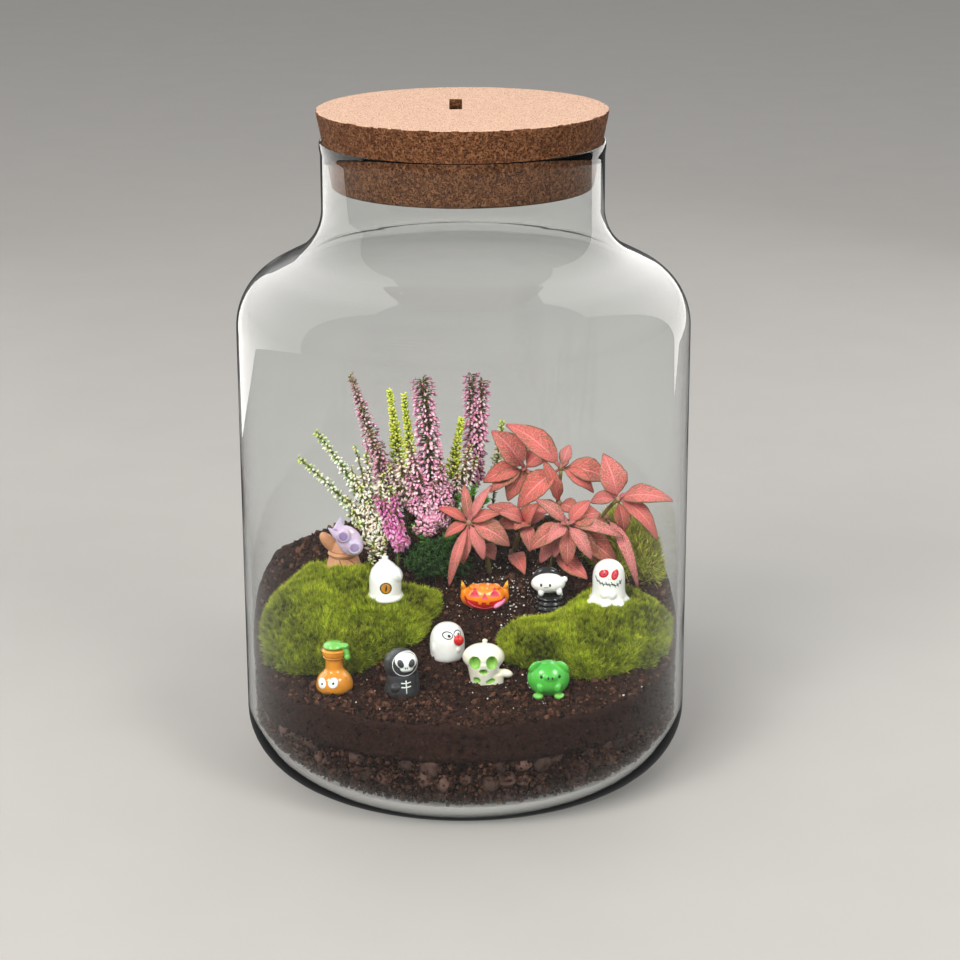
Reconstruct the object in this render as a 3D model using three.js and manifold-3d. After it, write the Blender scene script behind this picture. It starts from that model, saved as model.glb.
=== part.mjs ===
// Glass plant terrarium: a corked glass jar holding pebbles, soil, moss, two plants and miniatures.
// Millimetres, +Z up, -Y is the front. The origin is at the centre of the jar's flat foot.

import * as THREE from "three";
import { mergeVertices } from "three/addons/utils/BufferGeometryUtils.js";
import Module from "manifold-3d";

const wasm = await Module();
wasm.setup();

// ---------------------------------------------------------------- driving dimensions

const GAP = 0.3;
const TURN = 2 * Math.PI;
const LEVEL = [0, 0, 0];

const JAR = {
  radius: 100,
  wall: 2.8,
  neckWall: 2.2,
  floor: 5,
  footFillet: 27,
  innerFillet: 24,
  shoulderStart: 204,
  shoulderRadius: 29.25,
  throatRadius: 23.7,
  shoulderAngle: THREE.MathUtils.degToRad(63.3),
  neckRadius: 61.7,
  neckStart: 256,
  lipRadius: 62.15,
  height: 285,
  sides: 28,
};

const CORK = {
  topRadius: 63.4,
  bottomRadius: 57,
  top: 298.6,
  bottom: 265.5,
  bevel: 0.6,
  slotWidth: 5.6,
  slotLength: 30,
  slotDepth: 20,
  slotAt: [-2.9, 11],
};

const SOIL = {
  radius: 96.9,
  bottom: 34.3,
  front: 52,
  back: 86,
  slopeStart: -62,
  slopeLength: 112,
};

const PEBBLES = { height: 4, layerTop: 34, around: 21, clearance: 1.4 };

const MOSS_LIFT = 0.35;
const MOSS_TUFT = 1.7;

// ---------------------------------------------------------------- small helpers

// A seeded random source, so that every draw is the same each time.
function randomSource(seed) {
  let state = seed;
  return () => {
    state = (state * 1664525 + 1013904223) % 4294967296;
    return state / 4294967296;
  };
}

function between(random, low, high) {
  return low + (high - low) * random();
}

function vector(point) {
  return new THREE.Vector3(...point);
}

// Merges shared corners, drops collapsed triangles and turns an inside-out skin the right way.
function solid(geometry) {
  const bare = geometry.clone();
  Object.keys(bare.attributes)
    .filter((name) => name !== "position")
    .forEach((name) => bare.deleteAttribute(name));
  const welded = mergeVertices(bare, 1e-4);
  const points = welded.attributes.position.array;
  const corners = [];
  let volume = 0;
  const [a, b, c] = [new THREE.Vector3(), new THREE.Vector3(), new THREE.Vector3()];
  for (let i = 0; i < welded.index.count; i += 3) {
    const [p, q, r] = [0, 1, 2].map((k) => welded.index.getX(i + k));
    if (p === q || q === r || r === p) continue;
    corners.push(p, q, r);
    a.fromArray(points, 3 * p);
    b.fromArray(points, 3 * q);
    c.fromArray(points, 3 * r);
    volume += a.dot(b.cross(c));
  }
  if (volume < 0) corners.reverse();
  return new wasm.Manifold(
    new wasm.Mesh({
      numProp: 3,
      vertProperties: new Float32Array(points),
      triVerts: new Uint32Array(corners),
    }),
  );
}

// Joins solids pair by pair, which stays quick for hundreds of them.
function joined(solids) {
  let rest = solids;
  while (rest.length > 1) {
    const next = [];
    for (let i = 0; i < rest.length; i += 2) {
      next.push(i + 1 < rest.length ? rest[i].add(rest[i + 1]) : rest[i]);
    }
    rest = next;
  }
  return rest[0];
}

// A geometry scaled, then turned by XYZ angles, then moved.
function placed(geometry, at, size = [1, 1, 1], turn = [0, 0, 0]) {
  const matrix = new THREE.Matrix4().compose(
    vector(at),
    new THREE.Quaternion().setFromEuler(new THREE.Euler(...turn)),
    vector(size),
  );
  return solid(geometry.clone().applyMatrix4(matrix));
}

// A unit shape stretched along its own Y from one point to another.
function spanning(geometry, from, to, width, depth = width) {
  const along = new THREE.Vector3().subVectors(to, from);
  const matrix = new THREE.Matrix4().compose(
    new THREE.Vector3().addVectors(from, to).multiplyScalar(0.5),
    new THREE.Quaternion().setFromUnitVectors(new THREE.Vector3(0, 1, 0), along.clone().normalize()),
    new THREE.Vector3(width, along.length(), depth),
  );
  return solid(geometry.clone().applyMatrix4(matrix));
}

// Turns a profile of [radius, height] pairs about +Z.
function turned(profile, sides) {
  const points = profile.map(([radius, height]) => new THREE.Vector2(Math.max(radius, 0), height));
  return new THREE.LatheGeometry(points, sides).rotateX(Math.PI / 2);
}

function ball(at, size, turn = LEVEL, sides = 10) {
  return placed(new THREE.SphereGeometry(1, sides, Math.round(sides * 0.6)), at, size, turn);
}

// A tube of even thickness along a curve.
function tube(curve, radius, sides, steps) {
  const section = new THREE.Shape();
  for (let i = 0; i < sides; i += 1) {
    const angle = (TURN * i) / sides;
    const [x, y] = [radius * Math.cos(angle), radius * Math.sin(angle)];
    if (i === 0) section.moveTo(x, y);
    else section.lineTo(x, y);
  }
  return solid(new THREE.ExtrudeGeometry(section, { steps, bevelEnabled: false, extrudePath: curve }));
}

// The one body that fusing leaves: a scrap is dropped and a sealed hollow is filled.
function mainBody(body) {
  return body.decompose().reduce((most, part) => (part.volume() > most.volume() ? part : most));
}

function mesh(name, body, color, roughness, metalness = 0) {
  const data = mainBody(body).getMesh();
  const geometry = new THREE.BufferGeometry();
  geometry.setAttribute("position", new THREE.BufferAttribute(data.vertProperties, 3));
  geometry.setIndex(new THREE.BufferAttribute(data.triVerts, 1));
  geometry.computeVertexNormals();
  const material = new THREE.MeshStandardMaterial({ color, roughness, metalness });
  const part = new THREE.Mesh(geometry, material);
  part.name = name;
  return part;
}

// ---------------------------------------------------------------- jar and cork

// The jar's outer skin from the foot's centre to the lip, with the way each point faces.
function jarSkin() {
  const { radius, footFillet, shoulderStart, shoulderRadius, throatRadius } = JAR;
  const { shoulderAngle, neckRadius, neckStart, lipRadius } = JAR;
  const skin = [];
  for (let i = 0; i <= 4; i += 1) {
    const t = (i / 4) * (Math.PI / 2);
    skin.push([
      radius - footFillet * (1 - Math.sin(t)),
      footFillet * (1 - Math.cos(t)),
      Math.sin(t),
      -Math.cos(t),
    ]);
  }
  for (let i = 0; i <= 4; i += 1) {
    const t = (i / 4) * shoulderAngle;
    skin.push([
      radius - shoulderRadius * (1 - Math.cos(t)),
      shoulderStart + shoulderRadius * Math.sin(t),
      Math.cos(t),
      Math.sin(t),
    ]);
  }
  for (let i = 3; i >= 0; i -= 1) {
    const t = (i / 3) * shoulderAngle;
    skin.push([
      neckRadius + throatRadius * (1 - Math.cos(t)),
      neckStart - throatRadius * Math.sin(t),
      Math.cos(t),
      Math.sin(t),
    ]);
  }
  skin.push([neckRadius, 279, 1, 0], [lipRadius, 282, 1, 0]);
  return skin;
}

function corkRadius(height) {
  const share = (height - CORK.bottom) / (CORK.top - CORK.bottom);
  return CORK.bottomRadius + (CORK.topRadius - CORK.bottomRadius) * share;
}

function jarGlass() {
  const skin = jarSkin();
  const outer = skin.map(([r, z]) => [r, z]);
  const bevelFoot = JAR.height - 8;
  const lip = [
    [JAR.lipRadius, JAR.height - 0.4],
    [JAR.lipRadius - 0.4, JAR.height],
    [corkRadius(JAR.height) + GAP, JAR.height],
    [corkRadius(bevelFoot) + GAP, bevelFoot],
  ];
  const inner = skin
    .filter(([, z]) => z >= JAR.shoulderStart && z <= JAR.neckStart)
    .map(([r, z, nr, nz]) => {
      const share = (z - JAR.shoulderStart) / (JAR.neckStart - JAR.shoulderStart);
      const wall = JAR.wall + (JAR.neckWall - JAR.wall) * share;
      return [r - wall * nr, z - wall * nz];
    })
    .reverse();
  const well = [];
  const insideRadius = JAR.radius - JAR.wall;
  for (let i = 4; i >= 0; i -= 1) {
    const t = (i / 4) * (Math.PI / 2);
    well.push([
      insideRadius - JAR.innerFillet * (1 - Math.sin(t)),
      JAR.floor + JAR.innerFillet * (1 - Math.cos(t)),
    ]);
  }
  const profile = [[0, 0], ...outer, ...lip, ...inner, ...well, [0, JAR.floor]];
  return solid(turned(profile, JAR.sides));
}

function corkStopper() {
  const { top, bottom, bevel, slotWidth, slotLength, slotDepth, slotAt } = CORK;
  const body = solid(
    turned(
      [
        [0, bottom],
        [corkRadius(bottom) - bevel, bottom],
        [corkRadius(bottom + bevel), bottom + bevel],
        [corkRadius(top - bevel), top - bevel],
        [corkRadius(top) - bevel, top],
        [0, top],
      ],
      JAR.sides,
    ),
  );
  const slot = placed(new THREE.BoxGeometry(slotWidth, slotLength, 2 * slotDepth), [...slotAt, top]);
  return body.subtract(slot);
}

// ---------------------------------------------------------------- ground

function smooth(t) {
  const s = THREE.MathUtils.clamp(t, 0, 1);
  return s * s * (3 - 2 * s);
}

// The soil's top: low at the front, high at the back, with soft rises and dips.
function soilHeight(x, y) {
  const rise = smooth((y - SOIL.slopeStart) / SOIL.slopeLength);
  const ripple = 0.7 * Math.sin(x / 9 + 1) * Math.cos(y / 10) + 0.4 * Math.sin(x / 5) * Math.sin(y / 6 + 2);
  const dip = 4 * Math.exp(-((x + 92) ** 2 + (y + 48) ** 2) / 600);
  return SOIL.front + (SOIL.back - SOIL.front) * rise + ripple - dip;
}

// A closed blanket: a turned unit disc whose rim follows the outline and whose faces follow heights.
function blanket(outline, centre, rings, sides, topAt, bottomAt) {
  const profile = [[0, 0], [1, 0]];
  rings.forEach((ring) => profile.push([ring, 1]));
  const disc = turned(profile, sides);
  const place = disc.attributes.position;
  for (let i = 0; i < place.count; i += 1) {
    const [px, py] = [place.getX(i), place.getY(i)];
    const reach = Math.min(Math.hypot(px, py), 1);
    const turn = (Math.atan2(py, px) / TURN + 1) % 1;
    const [rimX, rimY] = outline(turn);
    const x = centre[0] + reach * (rimX - centre[0]);
    const y = centre[1] + reach * (rimY - centre[1]);
    const isTop = place.getZ(i) > 0.5;
    place.setXYZ(i, x, y, isTop ? topAt(x, y, reach, turn) : bottomAt(x, y));
  }
  return solid(disc);
}

function wholeSoil() {
  const rim = (turn) => [SOIL.radius * Math.cos(turn * TURN), SOIL.radius * Math.sin(turn * TURN)];
  const rings = [1, 0.88, 0.74, 0.6, 0.46, 0.3, 0];
  return blanket(rim, [0, 0], rings, JAR.sides, soilHeight, () => SOIL.bottom);
}

// The clay pebbles, packed under the soil: rounded bumps, each ringed by hollows, round the layer's rim.
function pebbleLayer() {
  const { height, layerTop, around, clearance } = PEBBLES;
  const wellRadius = JAR.radius - JAR.wall - JAR.innerFillet;
  const wellCentre = JAR.floor + JAR.innerFillet;
  const reach = JAR.innerFillet - clearance;
  const rows = [90, 74, 56, 36, 14, 0];
  const profile = [[0, JAR.floor + GAP]];
  rows.forEach((angle) => {
    const t = THREE.MathUtils.degToRad(angle);
    profile.push([wellRadius + reach * Math.cos(t), wellCentre - reach * Math.sin(t)]);
  });
  profile.push([wellRadius + reach - height, layerTop], [0, layerTop]);
  const layer = turned(profile, 2 * around);
  const place = layer.attributes.position;
  for (let i = 0; i < place.count; i += 1) {
    const column = Math.floor(i / profile.length) % (2 * around);
    const row = (i % profile.length) - 1;
    const isPebble = row % 2 === 0 && (column + row / 2) % 2 === 0;
    if (row < 1 || row >= rows.length || isPebble) continue;
    const t = THREE.MathUtils.degToRad(rows[row]);
    const heading = Math.atan2(place.getY(i), place.getX(i));
    const inset = height * (0.8 + 0.2 * Math.sin(3 * column));
    place.setXYZ(
      i,
      place.getX(i) - inset * Math.cos(t) * Math.cos(heading),
      place.getY(i) - inset * Math.cos(t) * Math.sin(heading),
      place.getZ(i) + inset * Math.sin(t),
    );
  }
  return solid(layer);
}

// ---------------------------------------------------------------- moss

const MOSS = {
  moss_left: {
    color: "#6f8a1c",
    centre: [-54, -12],
    height: 13,
    columns: 28,
    edge: [
      [-94, -19], [-89, -33], [-75, -44], [-60, -45], [-46, -43], [-33, -33], [-19, -22],
      [-13, -9], [-7, 1], [-16, 4], [-30, 9], [-43, 18], [-62, 24], [-76, 17], [-85, 6], [-92, -6],
    ],
  },
  moss_right: {
    color: "#76901e",
    centre: [60, -22],
    height: 12,
    columns: 24,
    edge: [
      [14, -30], [22, -40], [38, -44], [53, -50], [67, -45], [80, -41], [86, -38], [91, -26],
      [94, -13], [89, -3], [77, 5], [64, 5], [52, -2], [36, -12], [21, -17], [13, -22],
    ],
  },
  moss_back: {
    color: "#8a8f24",
    centre: [77, 36],
    height: 14,
    columns: 16,
    edge: [
      [60, 30], [63, 42], [68, 55], [76, 55], [82, 48], [87, 38], [91, 27], [92, 18], [86, 13], [76, 17],
      [66, 22],
    ],
  },
};

function mossOutline(edge) {
  const loop = new THREE.CatmullRomCurve3(edge.map(([x, y]) => new THREE.Vector3(x, y, 0)), true);
  return (share) => {
    const point = loop.getPoint(share);
    return [point.x, point.y];
  };
}

// How far a cushion stands above the soil: full in the middle, rounded off at its rim.
function mossRise(height, reach) {
  return height * (1 - reach ** 3.2) ** 0.55;
}

// A cushion's surface is lumpy all over: each corner of its grid gets a tuft's height or dip by a draw.
function mossCushion({ centre, height, edge, columns }, liftedSoil, random) {
  const rings = [1, 0.96, 0.85, 0.67, 0.42, 0];
  const draws = rings.map(() => Array.from({ length: columns }, () => between(random, -1, 1)));
  const drawn = (ring, turn) => draws[ring][Math.round(turn * columns) % columns];
  const top = (x, y, reach, turn) => {
    const ring = rings.findIndex((size) => reach > size - 0.02);
    const rim = 2.5 * (1 - reach ** 8);
    const tuft = ring === 0 || reach < 0.02 ? 0 : MOSS_TUFT * drawn(ring, turn);
    return soilHeight(x, y) + MOSS_LIFT + rim + mossRise(height - 2.5, reach) + tuft;
  };
  const outline = mossOutline(edge);
  const scalloped = (turn) => {
    const [x, y] = outline(turn);
    const share = 0.96 + 0.04 * drawn(0, turn);
    return [centre[0] + share * (x - centre[0]), centre[1] + share * (y - centre[1])];
  };
  const bottom = (x, y) => soilHeight(x, y) - 6;
  return blanket(scalloped, centre, rings, columns, top, bottom).subtract(liftedSoil);
}

// ---------------------------------------------------------------- heather

// A bell opens away from its stem; a needle narrows away from it. Both are three-sided.
const BELL = new THREE.ConeGeometry(0.5, 1, 3).rotateX(Math.PI);
const NEEDLE = new THREE.ConeGeometry(0.5, 1, 3);

// Bells or needles on a spiral round a stem, their roots on its axis.
function spray(shape, curve, { count, from, to, reach, width, rise, random }) {
  const pieces = [];
  for (let i = 0; i < count; i += 1) {
    const share = from + ((to - from) * (i + 0.5)) / count;
    const root = curve.getPoint(share);
    const ahead = curve.getTangent(share);
    const angle = i * 2.39996 + between(random, -0.2, 0.2);
    const side = new THREE.Vector3(1, 0, 0).cross(ahead).normalize();
    const out = side.applyAxisAngle(ahead, angle);
    const taper = 1 - 0.5 * ((share - from) / (to - from)) ** 2;
    const length = reach * taper * between(random, 0.9, 1.06);
    const way = out.multiplyScalar(length).addScaledVector(ahead, length * rise);
    pieces.push(spanning(shape, root, root.clone().add(way), width * Math.max(taper, 0.7)));
  }
  return pieces;
}

// The dense middle of a flowering stem: a spindle that follows it between two shares of its length.
function plumeCore(curve, from, to, radius) {
  const core = turned([[0, 0], [1, 0.2], [0.9, 0.6], [0, 1]], 4);
  const place = core.attributes.position;
  for (let i = 0; i < place.count; i += 1) {
    const share = from + (to - from) * place.getZ(i);
    const ahead = curve.getTangent(share);
    const side = new THREE.Vector3(1, 0, 0).cross(ahead).normalize();
    const other = new THREE.Vector3().crossVectors(ahead, side);
    const point = curve.getPoint(share);
    point.addScaledVector(side, radius * place.getX(i)).addScaledVector(other, radius * place.getY(i));
    place.setXYZ(i, point.x, point.y, point.z);
  }
  return solid(core);
}

// One flowering stem: from its foot, bowed through a middle point, to its tip.
function spike(spec, random) {
  const { foot, bow, tip, buds, reach, core = 0, leaves = 0, start = 0.45, stem = 0.85, width = 2.6 } = spec;
  const curve = new THREE.QuadraticBezierCurve3(vector(foot), vector(bow), vector(tip));
  const pieces = [tube(curve, stem, 3, 4)];
  if (core > 0) pieces.push(plumeCore(curve, start - 0.04, 0.97, core));
  pieces.push(...spray(BELL, curve, { count: buds, from: start, to: 0.99, reach, width, rise: 0.8, random }));
  if (leaves > 0) {
    const shape = { count: leaves, from: 0.18, to: start, reach: 3.2, width: 1.6, rise: 1, random };
    pieces.push(...spray(NEEDLE, curve, shape));
  }
  return pieces;
}

// Stems reach this far below the soil's surface, in plain holes.
const ROOT_DEPTH = 5;
const STEM_HOLE = [2.6, 2.6];

function rooted(x, y) {
  return [x, y, soilHeight(x, y) - ROOT_DEPTH];
}

// A bunch: short stems that leave one branching point, which a shared stem carries.
function bunch(foot, fork, tips, { buds, reach, core, stem = 0.9, width = 2.6, start = 0.42 }, random) {
  const trunk = new THREE.LineCurve3(vector(foot), vector(fork));
  const pieces = [tube(trunk, stem + 0.3, 4, 1)];
  tips.forEach((tip) => {
    const twig = new THREE.LineCurve3(vector(fork), vector(tip));
    pieces.push(tube(twig, stem * 0.8, 3, 1), plumeCore(twig, start, 0.97, core));
    const bells = { count: buds, from: start, to: 0.99, reach, width, rise: 0.7, random };
    pieces.push(...spray(BELL, twig, bells));
  });
  return pieces;
}

const SPIKES = {
  heather_green_outer: {
    color: "#8fa04a",
    foot: rooted(-42, 35),
    bow: [-46, 35, 106],
    tip: [-78, 35, 132],
    buds: 11,
    reach: 2.6,
    start: 0.4,
  },
  heather_green_inner: {
    color: "#8fa04a",
    foot: rooted(-39, 45),
    bow: [-46, 44, 112],
    tip: [-70, 44, 142],
    buds: 13,
    reach: 2.7,
    start: 0.4,
  },
  heather_dusky: {
    color: "#b07aa8",
    foot: rooted(-31, 41),
    bow: [-38, 43, 126],
    tip: [-53, 44, 169],
    buds: 16,
    reach: 4.6,
    leaves: 3,
    core: 2,
  },
  heather_lime_tall: {
    color: "#b9c742",
    foot: rooted(-26, 53),
    bow: [-30, 51, 120],
    tip: [-35, 50, 160],
    buds: 14,
    reach: 4,
    leaves: 3,
    start: 0.35,
    core: 1.8,
  },
  heather_lime_slim: {
    color: "#aebf3c",
    foot: rooted(-21, 42),
    bow: [-24, 39, 125],
    tip: [-28, 38, 161],
    buds: 11,
    reach: 3.4,
    leaves: 3,
    core: 1.5,
  },
  heather_lime_right: {
    color: "#b4c236",
    foot: rooted(-7, 39),
    bow: [-8, 37, 115],
    tip: [-1, 36, 150],
    buds: 11,
    reach: 4.2,
    leaves: 3,
    core: 1.8,
  },
  heather_white_tip: {
    color: "#dfe0b8",
    foot: rooted(12, 54),
    bow: [14, 52, 115],
    tip: [18, 50, 145],
    buds: 6,
    reach: 3.2,
    start: 0.6,
    leaves: 4,
  },
};

const BUNCHES = {
  heather_cream: {
    color: "#e6e2c4",
    foot: rooted(-38, 25),
    fork: [-41, 22, 97],
    tips: [
      [-52, 19, 132], [-45, 21, 139], [-37, 20, 129],
      [-55, 18, 118], [-49, 14, 106], [-42, 12, 95],
    ],
    style: { buds: 4, reach: 5, core: 2.4 },
  },
  heather_magenta: {
    color: "#a9448f",
    foot: rooted(-31, 19),
    fork: [-31, 14, 97],
    tips: [[-38, 8, 120], [-31, 8, 116], [-25, 8, 108], [-33, 5, 103]],
    style: { buds: 4, reach: 4.8, core: 2.4 },
  },
};

function pinkSpire(random) {
  const crown = { foot: rooted(-15, 27), bow: [-14, 25, 125], tip: [-19, 24, 172], buds: 24, reach: 6.6 };
  const pieces = spike({ ...crown, core: 3.6, stem: 1, width: 3 }, random);
  const sideTips = [[-26, 17, 129], [-10, 18, 133], [-5, 17, 115], [-22, 14, 107]];
  pieces.push(
    ...bunch(rooted(-15, 27), [-15, 24, 103], sideTips, { buds: 4, reach: 5, core: 2.6 }, random),
  );
  return joined(pieces);
}

function pinkPair(random) {
  const stem = { foot: rooted(2, 47), bow: [5, 46, 118], leaves: 4, reach: 5.8, core: 3.4, stem: 0.9 };
  const left = spike({ ...stem, tip: [3, 46, 168], buds: 16, start: 0.42 }, random);
  const right = spike({ ...stem, tip: [10, 45, 165], buds: 12, leaves: 0, start: 0.5 }, random);
  return joined([...left, ...right]);
}

// The dark green foot: a small bushy core with short needle-leaved shoots all over it.
function heatherFoliage(random) {
  const middle = new THREE.Vector3(-12, 13, 89);
  const pieces = [ball(middle.toArray(), [11, 6.5, 8.5], LEVEL, 7)];
  pieces.push(tube(new THREE.LineCurve3(vector(rooted(-12, 14)), middle), 2, 5, 1));
  const shoots = 22;
  for (let i = 0; i < shoots; i += 1) {
    const height = 1 - (1.55 * (i + 0.5)) / shoots;
    const round = Math.sqrt(Math.max(0, 1 - height * height));
    const way = new THREE.Vector3(round * Math.cos(i * 2.4), round * Math.sin(i * 2.4), height);
    const root = middle.clone().add(way.clone().multiply(new THREE.Vector3(8, 4.5, 6)));
    const reach = way.multiply(new THREE.Vector3(17, 10, 11)).multiplyScalar(between(random, 0.86, 1));
    pieces.push(spanning(NEEDLE, root, middle.clone().add(reach), 4.2));
  }
  return joined(pieces);
}

// ---------------------------------------------------------------- nerve plant

const LEAF_THICKNESS = 0.7;
const LEAF_FACE = new THREE.Vector3(0, -0.72, 0.69);
const WIDE_LEAF = 9;
const WIDE_STATIONS = [0, 0.16, 0.42, 0.72, 1];
const NARROW_STATIONS = [0, 0.2, 0.58, 1];

// A pointed oval leaf: a thin arched blade with a folded midrib and a softly waved edge.
function leaf({ from, to, width, arch = 0.16, face = LEAF_FACE }) {
  const stations = width >= WIDE_LEAF ? WIDE_STATIONS : NARROW_STATIONS;
  const steps = stations.length - 1;
  const [root, end] = [vector(from), vector(to)];
  const along = new THREE.Vector3().subVectors(end, root);
  const length = along.length();
  const side = new THREE.Vector3().crossVectors(along, face).normalize();
  const up = new THREE.Vector3().crossVectors(side, along).normalize();
  const blade = new THREE.PlaneGeometry(1, 1, steps, 2);
  const [top, bottom] = [[], []];
  for (let i = 0; i < blade.attributes.position.count; i += 1) {
    const share = stations[i % (steps + 1)];
    const across = 2 * blade.attributes.position.getY(i);
    const spread = THREE.MathUtils.clamp((share - 0.1) / 0.88, 0, 1);
    const half = 0.45 + (width / 2 - 0.45) * Math.sin(Math.PI * spread ** 0.85);
    const lift = arch * length * 4 * share * (1 - share) * 0.6 - arch * length * share ** 3;
    const wave = 0.05 * width * Math.sin(9 * share) * Math.abs(across);
    const point = root
      .clone()
      .addScaledVector(along, share)
      .addScaledVector(side, across * half)
      .addScaledVector(up, lift + Math.abs(across) * half * 0.28 + wave);
    top.push(point.clone().addScaledVector(up, LEAF_THICKNESS / 2));
    bottom.push(point.clone().addScaledVector(up, -LEAF_THICKNESS / 2));
  }
  return thinSolid(top, bottom, blade.index.array, steps + 1, 3);
}

// Closes two alike grids of points, one above the other, into a thin solid.
function thinSolid(top, bottom, faces, columns, rows) {
  const count = top.length;
  const corners = [];
  for (let i = 0; i < faces.length; i += 3) {
    corners.push(faces[i], faces[i + 1], faces[i + 2]);
    corners.push(faces[i + 2] + count, faces[i + 1] + count, faces[i] + count);
  }
  const rim = [];
  for (let c = 0; c < columns - 1; c += 1) rim.push(c);
  for (let r = 0; r < rows - 1; r += 1) rim.push(r * columns + columns - 1);
  for (let c = columns - 1; c > 0; c -= 1) rim.push((rows - 1) * columns + c);
  for (let r = rows - 1; r > 0; r -= 1) rim.push(r * columns);
  rim.forEach((p, i) => {
    const q = rim[(i + 1) % rim.length];
    corners.push(p, q, p + count, q, q + count, p + count);
  });
  const geometry = new THREE.BufferGeometry().setFromPoints([...top, ...bottom]);
  geometry.setIndex(corners);
  return solid(geometry);
}

// A leafy stem: a rising stalk with leaves whose narrow roots are sunk in its head or in a lower knot.
function leafyStem({ stalk, head, leaves }) {
  const knot = new THREE.OctahedronGeometry(1.9, 0);
  const rise = new THREE.CatmullRomCurve3([...stalk, head].map(vector));
  const pieces = [tube(rise, 1.1, 3, 4), placed(knot, head)];
  leaves.forEach((blade) => {
    const carrier = vector(blade.stem ?? head);
    const way = vector(blade.to).sub(carrier).normalize();
    const from = carrier.addScaledVector(way, 0.9).toArray();
    if (blade.stem) pieces.push(placed(knot, blade.stem));
    pieces.push(leaf({ ...blade, from }));
  });
  return joined(pieces);
}

const NERVE_STEMS = {
  nerve_stem_back: {
    stalk: [rooted(30, 40), [30, 40, 100]],
    head: [28, 40, 124],
    leaves: [
      { to: [15, 38, 143], width: 14 },
      { to: [9, 36, 121], width: 10 },
      { to: [12, 33, 117], width: 8 },
      { to: [39, 43, 133], width: 9 },
    ],
  },
  nerve_stem_tall: {
    stalk: [rooted(42, 32), [43, 32, 102]],
    head: [45, 32, 127],
    leaves: [
      { to: [22, 32, 149], width: 12 },
      { to: [49, 36, 137], width: 6 },
      { to: [68, 31, 123], width: 12 },
      { to: [59, 36, 117], width: 8 },
      { to: [24, 24, 112], width: 12 },
      { to: [38, 24, 132], width: 6.5, stem: [44, 32, 110] },
    ],
  },
  nerve_stem_right: {
    stalk: [rooted(60, 30), [61, 28, 98]],
    head: [71, 21, 115],
    leaves: [
      { to: [65, 22, 136], width: 13 },
      { to: [93, 5, 122], width: 9.5 },
      { to: [89, 8, 104], width: 8.5, arch: 0.34 },
      { to: [74, 17, 101], width: 8 },
      { to: [58, 25, 114], width: 7 },
    ],
  },
  nerve_stem_middle: {
    stalk: [rooted(40, 24), [42, 20, 92]],
    head: [47, 12, 106],
    leaves: [
      { to: [62, 14, 112], width: 12 },
      { to: [72, 6, 104], width: 6.5 },
      { to: [58, 2, 94], width: 7 },
      { to: [34, 14, 118], width: 6.5 },
      { to: [30, 6, 98], width: 10 },
      { to: [47, 5, 89], width: 8 },
      { to: [70, 13, 88], width: 13, arch: 0.05 },
      { to: [34, 13, 88], width: 7, stem: [45, 16, 100] },
      { to: [56, 8, 82], width: 9, arch: 0.08, stem: [41, 21, 89] },
    ],
  },
  nerve_stem_left: {
    stalk: [rooted(12, 22), [8, 19, 96]],
    head: [2, 12, 107],
    leaves: [
      { to: [21, 8, 99], width: 11 },
      { to: [0, 14, 124], width: 5 },
      { to: [11, 13, 124], width: 4.5 },
      { to: [-11, 12, 115], width: 5 },
      { to: [-2, 5, 89], width: 7 },
      { to: [-8, 0, 82], width: 5, arch: 0.22 },
      { to: [14, 15, 89], width: 7, stem: [8, 18, 96] },
    ],
  },
  nerve_stem_low: {
    stalk: [rooted(21, 30), [24, 28, 92]],
    head: [28, 24, 103],
    leaves: [
      { to: [12, 22, 113], width: 8 },
      { to: [15, 20, 104], width: 8.5 },
      { to: [36, 21, 108], width: 7 },
      { to: [27, 14, 84], width: 8, stem: [22, 29, 87] },
    ],
  },
};

// ---------------------------------------------------------------- miniatures

const UP = [Math.PI / 2, 0, 0];
const CONE = new THREE.ConeGeometry(1, 1, 6);

// Each figure is made at the origin, standing on z = 0 and facing -Y.
function robedFigure() {
  return joined([
    solid(turned([[0, 0], [7.5, 0], [7.8, 2.5], [6, 9], [5, 13], [0, 14.5]], 10)),
    ball([-6.4, -0.5, 13.5], [3, 3, 6], [0, -0.7, 0], 7),
    solid(turned([[0, 7.6], [6.6, 7.6], [7.2, 8.6], [6.6, 9.6], [0, 9.6]], 10)),
    placed(CONE, [6, 0, 5], [3, 9, 3], UP),
  ]);
}

function robedMask() {
  return joined([
    ball([0, 0, 0], [6.6, 4.2, 7.4], [0, -0.5, 0], 8),
    ball([-2.2, -2.8, 2.4], [3.2, 2.4, 3.2], LEVEL, 6),
    ball([2.8, -2.8, -1.6], [3.2, 2.4, 3.2], LEVEL, 6),
    placed(CONE, [-3.4, 0, 8], [2.6, 6, 2], [Math.PI / 2, 0, -0.3]),
    placed(CONE, [-7, 0.4, 3.4], [2.2, 5, 2], [Math.PI / 2, 0, 0.9]),
  ]);
}

function hoodedGhost() {
  return joined([
    solid(turned([[0, 0], [7, 0], [8, 1.4], [7.2, 4], [6.6, 10.5], [4.2, 16], [1.8, 20.2], [0, 21.2]], 12)),
    ball([0, -6.4, 7.6], [2.7, 1.4, 2.7], LEVEL, 7),
  ]);
}

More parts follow.
